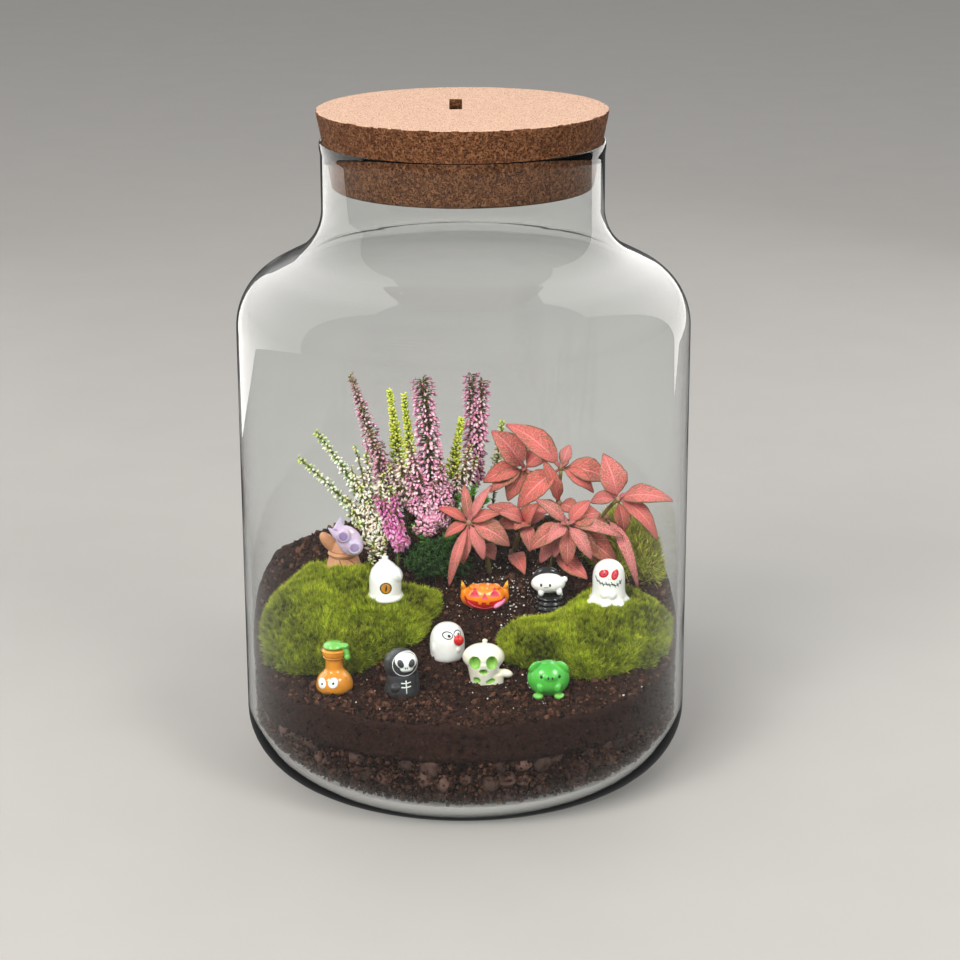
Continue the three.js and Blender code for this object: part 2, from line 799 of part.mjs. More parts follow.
function halfPumpkin() {
  const shell = new THREE.SphereGeometry(1, 16, 5).rotateX(Math.PI / 2);
  const place = shell.attributes.position;
  for (let i = 0; i < place.count; i += 1) {
    const [x, y] = [place.getX(i), place.getY(i)];
    const rib = 1 - 0.09 * Math.abs(Math.sin(4 * Math.atan2(y, x)));
    place.setX(i, x * rib);
    place.setY(i, y * (y < 0 ? rib : 0.35));
  }
  const horns = [-1, 1].map((side) =>
    placed(CONE, [side * 9.4, 0.6, 10.6], [2.2, 7, 2], [Math.PI / 2, side * -0.25, 0]),
  );
  const socket = new THREE.ConeGeometry(1, 1, 3);
  const cuts = [-1, 1].map((side) => placed(socket, [side * 4.6, -5, 8.6], [2.1, 7, 2.6]));
  cuts.push(placed(new THREE.CylinderGeometry(1, 1, 1, 6), [0, -5.4, 3], [6.2, 5, 1.6], UP));
  return joined([placed(shell, [0, 0, 6.4], [11.2, 7, 6.4]), ...horns]).subtract(joined(cuts));
}

function pillowCreature() {
  return joined([
    ball([0, 0, 5], [8, 4.6, 4.6], LEVEL, 9),
    ball([-3.4, -2.6, 1.4], [1.4, 1.4, 1.8], LEVEL, 5),
    ball([5, -2.6, 1.8], [1.4, 1.4, 1.8], LEVEL, 5),
    ball([7.4, -0.6, 7], [1.5, 1.3, 1.5], LEVEL, 5),
  ]);
}

function ringStack() {
  const profile = [
    [0, 0], [6.8, 0], [7.6, 1.3], [6.6, 2.5], [6.9, 3.6], [6.2, 4.7], [6.5, 5.8], [5.6, 6.9], [0, 6.9],
  ];
  return solid(turned(profile, 12));
}

function stitchedGhost() {
  const profile = [
    [0, 0], [8.6, 0], [9.2, 1.2], [7.6, 3.4], [7.4, 8], [7.2, 13], [5.6, 17.2], [3, 19.4], [0, 20],
  ];
  const cloak = turned(profile, 14);
  const place = cloak.attributes.position;
  for (let i = 0; i < place.count; i += 1) {
    const flare = place.getZ(i) < 2 ? 1 + 0.1 * Math.cos(7 * Math.atan2(place.getY(i), place.getX(i))) : 1;
    place.setX(i, place.getX(i) * flare);
    place.setY(i, place.getY(i) * flare * 0.92);
  }
  return joined([
    solid(cloak),
    ball([-1.6, -6.4, 5.2], [1.9, 1.7, 1.9], LEVEL, 6),
    ball([1.8, -6.4, 5.2], [1.9, 1.7, 1.9], LEVEL, 6),
  ]);
}

function roundGhost() {
  return joined([
    solid(turned([[0, 0], [6.2, 0], [7, 2], [7.8, 6.5], [7.6, 10.5], [6, 14.4], [3.2, 16.6], [0, 17.4]], 12)),
    ball([3.6, -7, 9.6], [2.2, 2.2, 2.2], LEVEL, 7),
    ball([-6.8, -1, 6.5], [1.6, 1.6, 3.4], LEVEL, 5),
  ]);
}

function skullAndBone() {
  const skull = [
    ball([0, 0, 12], [9.2, 6.6, 5.9], LEVEL, 9),
    placed(new THREE.CylinderGeometry(6.2, 4.6, 9, 7), [0, -0.4, 4.5], [1, 1, 0.85], UP),
    placed(new THREE.CylinderGeometry(0.9, 1.3, 3.2, 5), [0.6, 0, 18.4], [1, 1, 1], UP),
    placed(new THREE.CylinderGeometry(7, 7.8, 4.6, 9), [1.4, -0.6, 2.3], [1, 1, 0.6], UP),
    ball([10.2, -0.6, 4.4], [3, 2.2, 2.2], [0, 0.2, 0], 5),
  ];
  const sockets = [
    ball([-4, -6, 11], [2.4, 2.2, 2.6], LEVEL, 6),
    ball([3.8, -6, 11], [2.4, 2.2, 2.6], LEVEL, 6),
  ];
  return joined(skull).subtract(joined(sockets));
}

function roundAnimal() {
  const belly = ball([0, 0, 7.8], [9, 7.4, 7.9], LEVEL, 9);
  const snout = ball([0, -6.4, 10.4], [4.2, 1.4, 2.4], LEVEL, 6);
  const pieces = [belly, snout];
  [-1, 1].forEach((side) => {
    pieces.push(ball([side * 6, -0.6, 14.4], [3, 1.8, 2.3], [0, side * 0.5, 0], 5));
    pieces.push(ball([side * 3.6, -6.6, 5.4], [1.7, 1.5, 2], LEVEL, 5));
    pieces.push(ball([side * 4.6, -4.8, 1.5], [2.4, 2.4, 1.5], LEVEL, 5));
  });
  return joined(pieces);
}

function potionFlask() {
  const profile = [
    [0, 0], [6, 0], [7.8, 1.8], [8, 4.6], [6.6, 8], [4, 10.8], [3.8, 15.6], [5.1, 18], [4.8, 20.2], [0, 20.2],
  ];
  return solid(turned(profile, 12));
}

function flaskSlime() {
  return joined([
    solid(turned([[0, 0], [4.4, 0], [4.8, 1], [3.4, 2.4], [0, 3]], 10)),
    ball([6.2, -0.6, -1.4], [1.2, 2.2, 3.2], LEVEL, 6),
    ball([4.6, -0.4, 1.4], [2.4, 2.2, 1.3], LEVEL, 6),
  ]);
}

function hoodedSkeleton() {
  return joined([
    solid(turned([[0, 0], [7, 0], [7.4, 2], [6.4, 8], [0, 12]], 10)),
    ball([0, 0.4, 13.6], [7.6, 7, 7.2], LEVEL, 9),
    ball([0.8, -5.6, 13.6], [4.6, 2.2, 4.4], LEVEL, 7),
    ball([-3.4, -6, 5], [2.2, 1.7, 1.6], LEVEL, 5),
    placed(new THREE.BoxGeometry(1, 1.6, 5.4), [1.4, -6.6, 5]),
    placed(new THREE.BoxGeometry(4.2, 1.6, 0.9), [1.4, -6.6, 5.4]),
  ]);
}

// A figure's place: [x, y], the height of its base, its heading, and the half widths of the pocket
// that it is pressed into.
const FIGURES = {
  mini_robed: {
    make: robedFigure,
    color: "#c48a62",
    at: [-56, 14],
    base: 84,
    turn: 0,
    pocket: [11, 8.4],
  },
  mini_hooded_ghost: {
    make: hoodedGhost,
    color: "#f1efe9",
    at: [-36, -8],
    base: 77.5,
    turn: 0.1,
    pocket: [8.4, 8.4],
  },
  mini_pumpkin: {
    make: halfPumpkin,
    color: "#ee7c1a",
    at: [9, 0],
    base: 69,
    turn: 0,
    pocket: [13.5, 6],
  },
  mini_rings: {
    make: ringStack,
    color: "#17171a",
    at: [39, 1],
    base: 69.5,
    turn: 0,
    pocket: [8, 8],
  },
  mini_stitched_ghost: {
    make: stitchedGhost,
    color: "#eeece6",
    at: [65, -9],
    base: 76.2,
    turn: -0.1,
    pocket: [11, 9],
  },
  mini_round_ghost: {
    make: roundGhost,
    color: "#efeeea",
    at: [-8, -29],
    base: 57,
    turn: 0.5,
    pocket: [8.8, 8.8],
  },
  mini_skull: {
    make: skullAndBone,
    color: "#e9e4cf",
    at: [8, -47],
    base: 52.6,
    turn: 0,
    pocket: [10, 7],
  },
  mini_round_animal: {
    make: roundAnimal,
    color: "#3fa243",
    at: [36, -59],
    base: 51,
    turn: 0,
    pocket: [9.4, 8.4],
  },
  mini_flask: {
    make: potionFlask,
    color: "#c2741a",
    at: [-57, -53],
    base: 51,
    turn: -0.3,
    pocket: [8.4, 8.4],
  },
  mini_skeleton: {
    make: hoodedSkeleton,
    color: "#1d1d20",
    at: [-28, -56],
    base: 51,
    turn: 0.15,
    pocket: [7.9, 8.4],
  },
};

// Pieces that rest on a figure, and how far from its base they are.
const RIDERS = {
  mini_robed_mask: { make: robedMask, color: "#b9a6cc", on: "mini_robed", offset: [3.4, -8.6, 17] },
  mini_pillow_creature: { make: pillowCreature, color: "#f3f2ee", on: "mini_rings", offset: [-1, -1, 7.4] },
  mini_flask_slime: { make: flaskSlime, color: "#4fae45", on: "mini_flask", offset: [0, 0, 20.2 + GAP] },
};

function stood(body, { at, base, turn }) {
  return body.rotate([0, 0, THREE.MathUtils.radToDeg(turn)]).translate([at[0], at[1], base]);
}

// A plain upright hole, open at the top, that leaves a gap all round what stands in it.
function hole(x, y, [halfX, halfY], bottom, sides) {
  const depth = 40;
  const size = [halfX + GAP, depth, halfY + GAP];
  return placed(new THREE.CylinderGeometry(1, 1, 1, sides), [x, y, bottom + depth / 2], size, UP);
}

// ---------------------------------------------------------------- assembly

const group = new THREE.Group();

group.add(mesh("jar_glass", jarGlass(), "#dfe6e4", 0.04));
group.add(mesh("cork_stopper", corkStopper(), "#c59a74", 0.9));
group.add(mesh("clay_pebbles", pebbleLayer(), "#6b4a3d", 0.9));

const random = randomSource(41);
const plants = [];

Object.entries(SPIKES).forEach(([name, spec]) => {
  plants.push({ name, color: spec.color, body: joined(spike(spec, random)), feet: [spec.foot] });
});
Object.entries(BUNCHES).forEach(([name, { color, foot, fork, tips, style }]) => {
  plants.push({ name, color, body: joined(bunch(foot, fork, tips, style, random)), feet: [foot] });
});
plants.push(
  { name: "heather_pink_spire", color: "#bd6fb0", body: pinkSpire(random), feet: [rooted(-15, 27)] },
  { name: "heather_pink_pair", color: "#c27bb8", body: pinkPair(random), feet: [rooted(2, 47)] },
  { name: "heather_foliage", color: "#27481f", body: heatherFoliage(random), feet: [rooted(-12, 14)] },
);
Object.entries(NERVE_STEMS).forEach(([name, spec]) => {
  plants.push({ name, color: "#cf6467", body: leafyStem(spec), feet: [spec.stalk[0]] });
});

const stemHoles = plants.flatMap(({ feet }) => feet.map(([x, y, z]) => hole(x, y, STEM_HOLE, z - GAP, 5)));
const pockets = Object.values(FIGURES).map(({ at, base, pocket }) => hole(...at, pocket, base - GAP, 8));
const openings = joined([...stemHoles, ...pockets]);

const fullSoil = wholeSoil();
const liftedSoil = fullSoil.translate([0, 0, GAP]);
group.add(mesh("soil", fullSoil.subtract(openings), "#2c1c17", 1));

Object.entries(MOSS).forEach(([name, spec]) => {
  group.add(mesh(name, mossCushion(spec, liftedSoil, random).subtract(openings), spec.color, 1));
});

plants.forEach(({ name, color, body }) => group.add(mesh(name, body, color, 0.6)));

Object.entries(FIGURES).forEach(([name, figure]) => {
  group.add(mesh(name, stood(figure.make(), figure), figure.color, 0.35));
});

Object.entries(RIDERS).forEach(([name, { make, color, on, offset }]) => {
  group.add(mesh(name, stood(make().translate(offset), FIGURES[on]), color, 0.3));
});

export default group;
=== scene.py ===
"""Glass plant terrarium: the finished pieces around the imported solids.

The frame is in metres, +Z is up and -Y is the front. The classes give their sizes in millimetres,
and a piece is turned to metres when its mesh is made.
"""

import logging
import math
from collections.abc import Iterable, Sequence
from dataclasses import dataclass, field
from enum import Enum
from functools import cache

import bmesh
import bpy
import numpy as np
from mathutils import Matrix, Vector, noise
from mathutils.bvhtree import BVHTree


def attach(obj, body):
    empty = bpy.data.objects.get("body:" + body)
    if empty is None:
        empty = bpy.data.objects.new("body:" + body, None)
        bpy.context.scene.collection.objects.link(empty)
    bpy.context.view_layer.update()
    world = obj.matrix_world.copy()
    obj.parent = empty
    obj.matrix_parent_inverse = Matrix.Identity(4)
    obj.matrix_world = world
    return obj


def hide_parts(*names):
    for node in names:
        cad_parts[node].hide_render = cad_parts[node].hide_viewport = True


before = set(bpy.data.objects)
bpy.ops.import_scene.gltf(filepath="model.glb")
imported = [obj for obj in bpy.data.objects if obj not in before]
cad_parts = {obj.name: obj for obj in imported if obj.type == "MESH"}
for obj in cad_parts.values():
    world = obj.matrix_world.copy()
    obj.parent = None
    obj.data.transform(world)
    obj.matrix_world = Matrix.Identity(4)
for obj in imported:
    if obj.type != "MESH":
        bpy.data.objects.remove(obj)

LOG = logging.getLogger("terrarium")
MM = 0.001
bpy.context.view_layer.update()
Flat = tuple[float, float]
Point = tuple[float, float, float]
Colour = tuple[float, float, float, float]
Socket = bpy.types.NodeSocket
Outputs = bpy.types.bpy_prop_collection
Shape = bmesh.types.BMesh
Draws = np.random.Generator


# ---------------- colours and nodes


@cache
def linear(colour: str) -> Colour:
    """Turns an sRGB hex colour into linear light.

    Args:
        colour: Six hex digits after a hash sign.

    Returns:
        Red, green, blue and an alpha of one.
    """
    channels = [int(colour[i : i + 2], 16) / 255 for i in (1, 3, 5)]
    lit = [c / 12.92 if c <= 0.04045 else ((c + 0.055) / 1.055) ** 2.4 for c in channels]
    return (lit[0], lit[1], lit[2], 1.0)


def add_node(tree: bpy.types.NodeTree, kind: str, settings: dict | None = None) -> Outputs:
    """Adds a node, sets its properties and sockets, and links its inputs.

    Args:
        tree: The node tree.
        kind: Blender's name for the node type.
        settings: Values by property name, by socket name or by socket number. An output socket as a
            value is linked. A colour ramp's "stops" are pairs of position and hex colour.

    Returns:
        The new node's outputs.
    """
    node = tree.nodes.new(kind)
    for key, value in (settings or {}).items():
        if key == "stops":
            ramp = node.color_ramp.elements
            while len(ramp) < len(value):
                ramp.new(0.5)
            for element, (position, colour) in zip(ramp, value):
                element.position = position
                element.color = linear(colour)
        elif isinstance(value, Socket):
            tree.links.new(value, node.inputs[key])
        elif isinstance(key, int) or key in node.inputs:
            node.inputs[key].default_value = value
        else:
            setattr(node, key, value)
    return node.outputs


class Surface:
    """A material while its nodes are wired up: one short method for each kind of node."""

    def __init__(self, name: str, **sockets: object) -> None:
        """Starts the material.

        Args:
            name: What the finish is called.
            **sockets: Values for the shader's own sockets, with _ for each space in a name.
        """
        self.material = bpy.data.materials.new(name)
        self.material.use_nodes = True
        self.tree = self.material.node_tree
        self.shader = self.tree.nodes["Principled BSDF"]
        for key, value in sockets.items():
            self.shader.inputs[key.replace("_", " ")].default_value = value

    def add(self, kind: str, settings: dict | None = None) -> Outputs:
        """Adds a node, as add_node does, and returns its outputs."""
        return add_node(self.tree, "ShaderNode" + kind, settings)

    def place(self) -> Socket:
        """Returns the place on the object, in metres."""
        return self.add("TexCoord")["Object"]

    def noise(self, scale: float, detail: float, place: Socket) -> Outputs:
        """Returns the outputs of clouds, as many to a metre as their scale says."""
        return self.add("TexNoise", {"Scale": scale, "Detail": detail, "Vector": place})

    def maths(self, operation: str, *terms: float | Socket, clamped: bool = False) -> Socket:
        """Returns the result of an operation on numbers and sockets."""
        settings = {"operation": operation, "use_clamp": clamped, **dict(enumerate(terms))}
        return self.add("Math", settings)[0]

    def ranged(self, value: Socket, start: float, end: float, low: float = 0.0, high: float = 1.0) -> Socket:
        """Returns a value that goes from low to high as the given one goes from start to end."""
        settings = {"From Min": start, "From Max": end, "To Min": low, "To Max": high, "Value": value}
        return self.add("MapRange", settings)[0]

    def mixed(
        self, share: float | Socket, first: Colour | Socket, second: Colour | Socket, blend: str = "MIX"
    ) -> Socket:
        """Returns a mix of two colours by the second one's share."""
        settings = {"data_type": "RGBA", "blend_type": blend, 0: share, 6: first, 7: second}
        return self.add("Mix", settings)[2]

    def coloured(self, colour: Socket) -> None:
        """Gives the shader its colour."""
        self.tree.links.new(colour, self.shader.inputs["Base Color"])

    def bumped(self, height: Socket, depth: float) -> None:
        """Roughens the shader's surface by a relief whose depth is in millimetres."""
        bump = self.add("Bump", {"Strength": 1.0, "Distance": depth * MM, "Height": height})
        self.tree.links.new(bump[0], self.shader.inputs["Normal"])


@dataclass(frozen=True)
class Finish:
    """A surface finish, which makes one node material."""

    name: str

    def material(self) -> bpy.types.Material:
        """Returns the finish's material."""
        raise NotImplementedError


@dataclass(frozen=True)
class BlownGlass(Finish):
    """Soda-lime glass, blown in a mould: clear and smooth, with slow waves that bend reflections."""

    tint: str = "#FAFCFC"
    through: str = "#F8FAFA"
    wave: float = 42.0  # mm from crest to crest

    @cache
    def material(self) -> bpy.types.Material:
        """Returns the glass.

        Lamplight, and the light that dull surfaces bounce, pass straight through it. Only what the
        camera sees in it or through it, and sharp reflections, are bent.
        """
        glass = Surface(
            self.name,
            Base_Color=linear(self.tint),
            Roughness=0.0,
            IOR=1.32,
            Transmission_Weight=1.0,
            Specular_IOR_Level=0.25,
        )
        glass.bumped(glass.noise(1000 / self.wave, 1.0, glass.place())["Fac"], 0.12)
        path = glass.add("LightPath")
        clear = glass.add("BsdfTransparent", {"Color": linear(self.through)})
        dull = glass.maths("SUBTRACT", path["Is Reflection Ray"], path["Is Singular Ray"], clamped=True)
        straight = glass.maths("MAXIMUM", path["Is Shadow Ray"], dull)
        mix = glass.add("MixShader", {0: straight, 1: glass.shader.outputs[0], 2: clear[0]})
        glass.tree.links.new(mix[0], glass.tree.nodes["Material Output"].inputs["Surface"])
        return glass.material


@dataclass(frozen=True)
class PressedCork(Finish):
    """Agglomerated cork: glued granules of many browns, with dark pits between them."""

    pale: str
    mid: str
    dark: str
    granule: float  # mm across
    pits: float  # share of the surface that may be pitted
    depth: float  # mm
    pit_colour: str = "#3A2016"

    @cache
    def material(self) -> bpy.types.Material:
        """Returns the cork: bent cells of three browns, pitted where a finer noise is low."""
        cork = Surface(self.name, Roughness=0.92, Specular_IOR_Level=0.2)
        place = cork.place()
        bent = cork.mixed(0.0012, place, cork.noise(520.0, 2.0, place)["Color"], "LINEAR_LIGHT")
        grains = cork.add("TexVoronoi", {"Scale": 1000 / self.granule, "Vector": bent})
        browns = [(0.15, self.dark), (0.5, self.mid), (0.9, self.pale)]
        shades = cork.add("ValToRGB", {"stops": browns, "Fac": grains["Color"]})
        fine = cork.noise(1400.0, 4.0, place)["Fac"]
        holes = cork.ranged(fine, 0.63, 0.63 - 0.16 * self.pits)
        cork.coloured(cork.mixed(holes, linear(self.pit_colour), shades["Color"]))
        cork.bumped(cork.maths("MULTIPLY", holes, fine), self.depth)
        return cork.material


@dataclass(frozen=True)
class Tinted(Finish):
    """A matt natural surface whose colour comes from its piece's tint, varied and roughened by noise."""

    grain: float  # mm
    depth: float  # mm
    vary: float
    roughness: float
    specular: float = 0.3
    glow: float = 0.0  # share of light that passes under the skin

    @cache
    def material(self) -> bpy.types.Material:
        """Returns the tinted surface, its colour lighter and darker grain by grain."""
        surface = Surface(
            self.name,
            Roughness=self.roughness,
            Specular_IOR_Level=self.specular,
            Subsurface_Weight=self.glow,
            Subsurface_Scale=0.8 * MM,
        )
        grains = surface.noise(1000 / self.grain, 3.0, surface.place())["Fac"]
        tint = surface.add("Attribute", {"attribute_name": "tint"})["Color"]
        shade = surface.ranged(grains, 0.3, 0.7, 1 - self.vary, 1 + self.vary)
        surface.coloured(surface.add("VectorMath", {"operation": "SCALE", 0: tint, "Scale": shade})[0])
        surface.bumped(grains, self.depth)
        return surface.material


@dataclass(frozen=True)
class NetVeinedLeaf(Finish):
    """A nerve plant's leaf: coral flesh between olive specks, pink side veins and an olive rim."""

    flesh: str = "#DB655F"
    young: str = "#EB8688"
    speck: str = "#6C6240"
    vein: str = "#EC938E"
    veins: float = 7.0  # side veins on each half
    cells: float = 31.0  # specks along the leaf, coarser than the real ones so that they show

    @cache
    def material(self) -> bpy.types.Material:
        """Returns the leaf, whose pattern follows the leaf's own map.

        The tint's red says how young the leaf is, and its green how thickly it is specked.
        """
        leaf = Surface(
            self.name,
            Roughness=0.5,
            Specular_IOR_Level=0.35,
            Subsurface_Weight=0.15,
            Subsurface_Scale=1.5 * MM,
        )
        chart = leaf.add("UVMap", {"uv_map": "leaf"})[0]
        parts = leaf.add("SeparateXYZ", {0: chart})
        across = leaf.maths("ABSOLUTE", leaf.maths("SUBTRACT", parts[1], 0.5))
        slant = leaf.maths("MULTIPLY_ADD", across, -0.55, parts[0])
        ridges = leaf.maths("COSINE", leaf.maths("MULTIPLY", slant, self.veins * math.tau))
        side = leaf.ranged(ridges, 0.86, 1.0, high=0.55)
        middle = leaf.ranged(across, 0.035, 0.012)
        vein = leaf.maths("MAXIMUM", side, middle)
        stretched = leaf.add("Mapping", {"Scale": (self.cells, self.cells * 0.55, 1.0), 0: chart})[0]
        tint = leaf.add("SeparateColor", {0: leaf.add("Attribute", {"attribute_name": "tint"})["Color"]})
        net = {"voronoi_dimensions": "2D", "Scale": 1.0, "Vector": stretched}
        cells = leaf.add("TexVoronoi", net)["Distance"]
        reach = leaf.maths("MULTIPLY", leaf.noise(160.0, 2.0, leaf.place())["Fac"], tint[1])
        filled = leaf.maths("SUBTRACT", leaf.maths("MULTIPLY_ADD", across, 0.45, reach), cells)
        specks = leaf.ranged(filled, 0.0, 0.14, high=0.72)
        speckled = leaf.maths("MULTIPLY", specks, leaf.maths("SUBTRACT", 1.0, vein))
        olive = leaf.maths("MAXIMUM", speckled, leaf.ranged(across, 0.44, 0.49, high=0.85))
        flesh = leaf.mixed(tint[0], linear(self.flesh), linear(self.young))
        veined = leaf.mixed(vein, flesh, linear(self.vein))
        leaf.coloured(leaf.mixed(olive, veined, linear(self.speck)))
        leaf.bumped(leaf.maths("MULTIPLY_ADD", vein, -0.6, cells), 0.22)
        return leaf.material


@dataclass(frozen=True)
class MouldedResin(Finish):
    """Cast resin under a clear gloss coat: even colour, a soft glow, and faint moulding unevenness."""

    colour: str
    shade: str
    roughness: float = 0.32
    coat: float = 0.35
    glow: float = 0.12
    clear: float = 0.0

    @cache
    def material(self) -> bpy.types.Material:
        """Returns the resin, cloudy between its colour and its shade."""
        resin = Surface(
            self.name,
            Roughness=self.roughness,
            IOR=1.5,
            Coat_Weight=self.coat,
            Coat_Roughness=0.12,
            Subsurface_Weight=self.glow,
            Subsurface_Scale=1.5 * MM,
            Transmission_Weight=self.clear,
        )
        cloud = resin.noise(220.0, 3.0, resin.place())["Fac"]
        share = resin.ranged(cloud, 0.35, 0.7)
        resin.coloured(resin.mixed(share, linear(self.colour), linear(self.shade)))
        resin.bumped(cloud, 0.12)
        return resin.material


# ---------------- shapes


def stood(name: str, data: bpy.types.ID) -> bpy.types.Object:
    """Puts a new object with the given data into the scene, and returns it."""
    thing = bpy.data.objects.new(name, data)
    bpy.context.scene.collection.objects.link(thing)
    return thing


def unit(ways: np.ndarray) -> np.ndarray:
    """Returns rows of X, Y and Z at a length of one."""
    return ways / np.linalg.norm(ways, axis=1, keepdims=True)


def arc(steps: int, angle: float) -> list[Flat]:
    """Returns the sine and the cosine at equal steps from nought to an angle."""
    return [(math.sin(i / steps * angle), math.cos(i / steps * angle)) for i in range(steps + 1)]


def spun(profile: list[Flat], steps: int) -> Shape:
    """Turns a profile about +Z.

    Args:
        profile: Pairs of radius and height, from one end on the axis to the other.
        steps: Faces round the axis.

    Returns:
        A closed shape whose faces point outwards.
    """
    shape = bmesh.new()
    corners = [shape.verts.new((radius, 0.0, height)) for radius, height in profile]
    edges = [shape.edges.new(pair) for pair in zip(corners, corners[1:])]
    bmesh.ops.spin(
        shape,
        geom=corners + edges,
        cent=(0, 0, 0),
        axis=(0, 0, 1),
        angle=math.tau,
        steps=steps,
        use_merge=True,
        use_duplicate=False,
    )
    bmesh.ops.remove_doubles(shape, verts=shape.verts, dist=1e-4)
    bmesh.ops.recalc_face_normals(shape, faces=shape.faces)
    return shape


def ball(at: Point, size: Point, turn: Point = (0, 0, 0), detail: int = 20) -> Shape:
    """Makes a rounded lump.

    Args:
        at: Its centre.
        size: Its half sizes along X, Y and Z.
        turn: Turns about X, Y and Z in radians, made after it is stretched.
        detail: Faces round its middle.

    Returns:
        The lump.
    """
    shape = bmesh.new()
    bmesh.ops.create_uvsphere(shape, u_segments=detail, v_segments=detail // 2, radius=1.0)
    return placed(shape, at, size, turn)


def placed(shape: Shape, at: Point, size: Point = (1, 1, 1), turn: Point = (0, 0, 0)) -> Shape:
    """Stretches a shape, then turns it about X, Y and Z, then moves it; returns the same shape."""
    about_x, about_y, about_z = (Matrix.Rotation(angle, 4, axis) for angle, axis in zip(turn, "XYZ"))
    matrix = Matrix.Translation(at) @ (about_z @ about_y @ about_x) @ Matrix.Diagonal((*size, 1.0))
    bmesh.ops.transform(shape, matrix=matrix, verts=shape.verts)
    return shape


def tube(line: Iterable[Vector | Point], radii: list[float], sides: int = 8) -> Shape:
    """Extrudes a round section along points and closes both ends.

    Args:
        line: The points of the centre line.
        radii: The radius at each point.
        sides: Faces round the section.

    Returns:
        The closed tube.
    """
    points = [Vector(point) for point in line]
    shape = bmesh.new()
    ring = bmesh.ops.create_circle(shape, cap_ends=False, segments=sides, radius=1.0)["verts"]
    first = edges = shape.edges[:]
    last = Matrix.Identity(4)
    for i, (point, radius) in enumerate(zip(points, radii)):
        way = points[min(i + 1, len(points) - 1)] - points[max(i - 1, 0)]
        matrix = Matrix.LocRotScale(point, way.to_track_quat("Z", "Y"), Vector((radius, radius, 1.0)))
        if i > 0:
            grown = bmesh.ops.extrude_edge_only(shape, edges=edges)["geom"]
            ring = [part for part in grown if isinstance(part, bmesh.types.BMVert)]
            edges = [part for part in grown if isinstance(part, bmesh.types.BMEdge)]
            edges = [edge for edge in edges if all(v in ring for v in edge.verts)]
        bmesh.ops.transform(shape, matrix=matrix @ last.inverted(), verts=ring)
        last = matrix
    bmesh.ops.edgeloop_fill(shape, edges=first)
    bmesh.ops.edgeloop_fill(shape, edges=edges)
    bmesh.ops.recalc_face_normals(shape, faces=shape.faces)
    return shape


def towards(origins: np.ndarray, ways: np.ndarray, sizes: np.ndarray, rolls: np.ndarray) -> np.ndarray:
    """Builds placing matrices whose Z axes follow given directions.

    Args:
        origins: Where each copy starts.
        ways: The direction of each copy's Z axis.
        sizes: Each copy's scale along its own axes.
        rolls: Each copy's turn about its own Z axis.

    Returns:
        One 4 by 4 matrix for each copy.
    """
    z = unit(ways)
    aside = np.where(np.abs(z[:, 2:3]) < 0.9, np.array([[0.0, 0.0, 1.0]]), np.array([[1.0, 0.0, 0.0]]))
    x = unit(np.cross(aside, z))
    y = np.cross(z, x)
    c, s = np.cos(rolls)[:, None], np.sin(rolls)[:, None]
    matrices = np.zeros((len(z), 4, 4))
    matrices[:, :3, 0] = (c * x + s * y) * sizes[:, 0:1]
    matrices[:, :3, 1] = (c * y - s * x) * sizes[:, 1:2]
    matrices[:, :3, 2] = z * sizes[:, 2:3]
    matrices[:, :3, 3] = origins
    matrices[:, 3, 3] = 1.0
    return matrices


class Pattern:
    """A small shape that is repeated, with each corner's share of its height."""

    def __init__(self, shape: Shape) -> None:
        """Reads the shape and frees it.

        Args:
            shape: The shape, its root at z = 0 and its tip at z = 1.
        """
        shape.verts.index_update()
        self.corners = np.array([v.co[:] for v in shape.verts])
        self.loops = np.array([v.index for f in shape.faces for v in f.verts])
        self.sizes = np.array([len(f.verts) for f in shape.faces])
        self.faces = np.array([f.material_index for f in shape.faces])
        chart = shape.loops.layers.uv.active
        self.chart = np.array([loop[chart].uv[:] for f in shape.faces for loop in f.loops]) if chart else None
        low, high = self.corners[:, 2].min(), self.corners[:, 2].max()
        self.share = (self.corners[:, 2] - low) / max(high - low, 1e-6)
        shape.free()


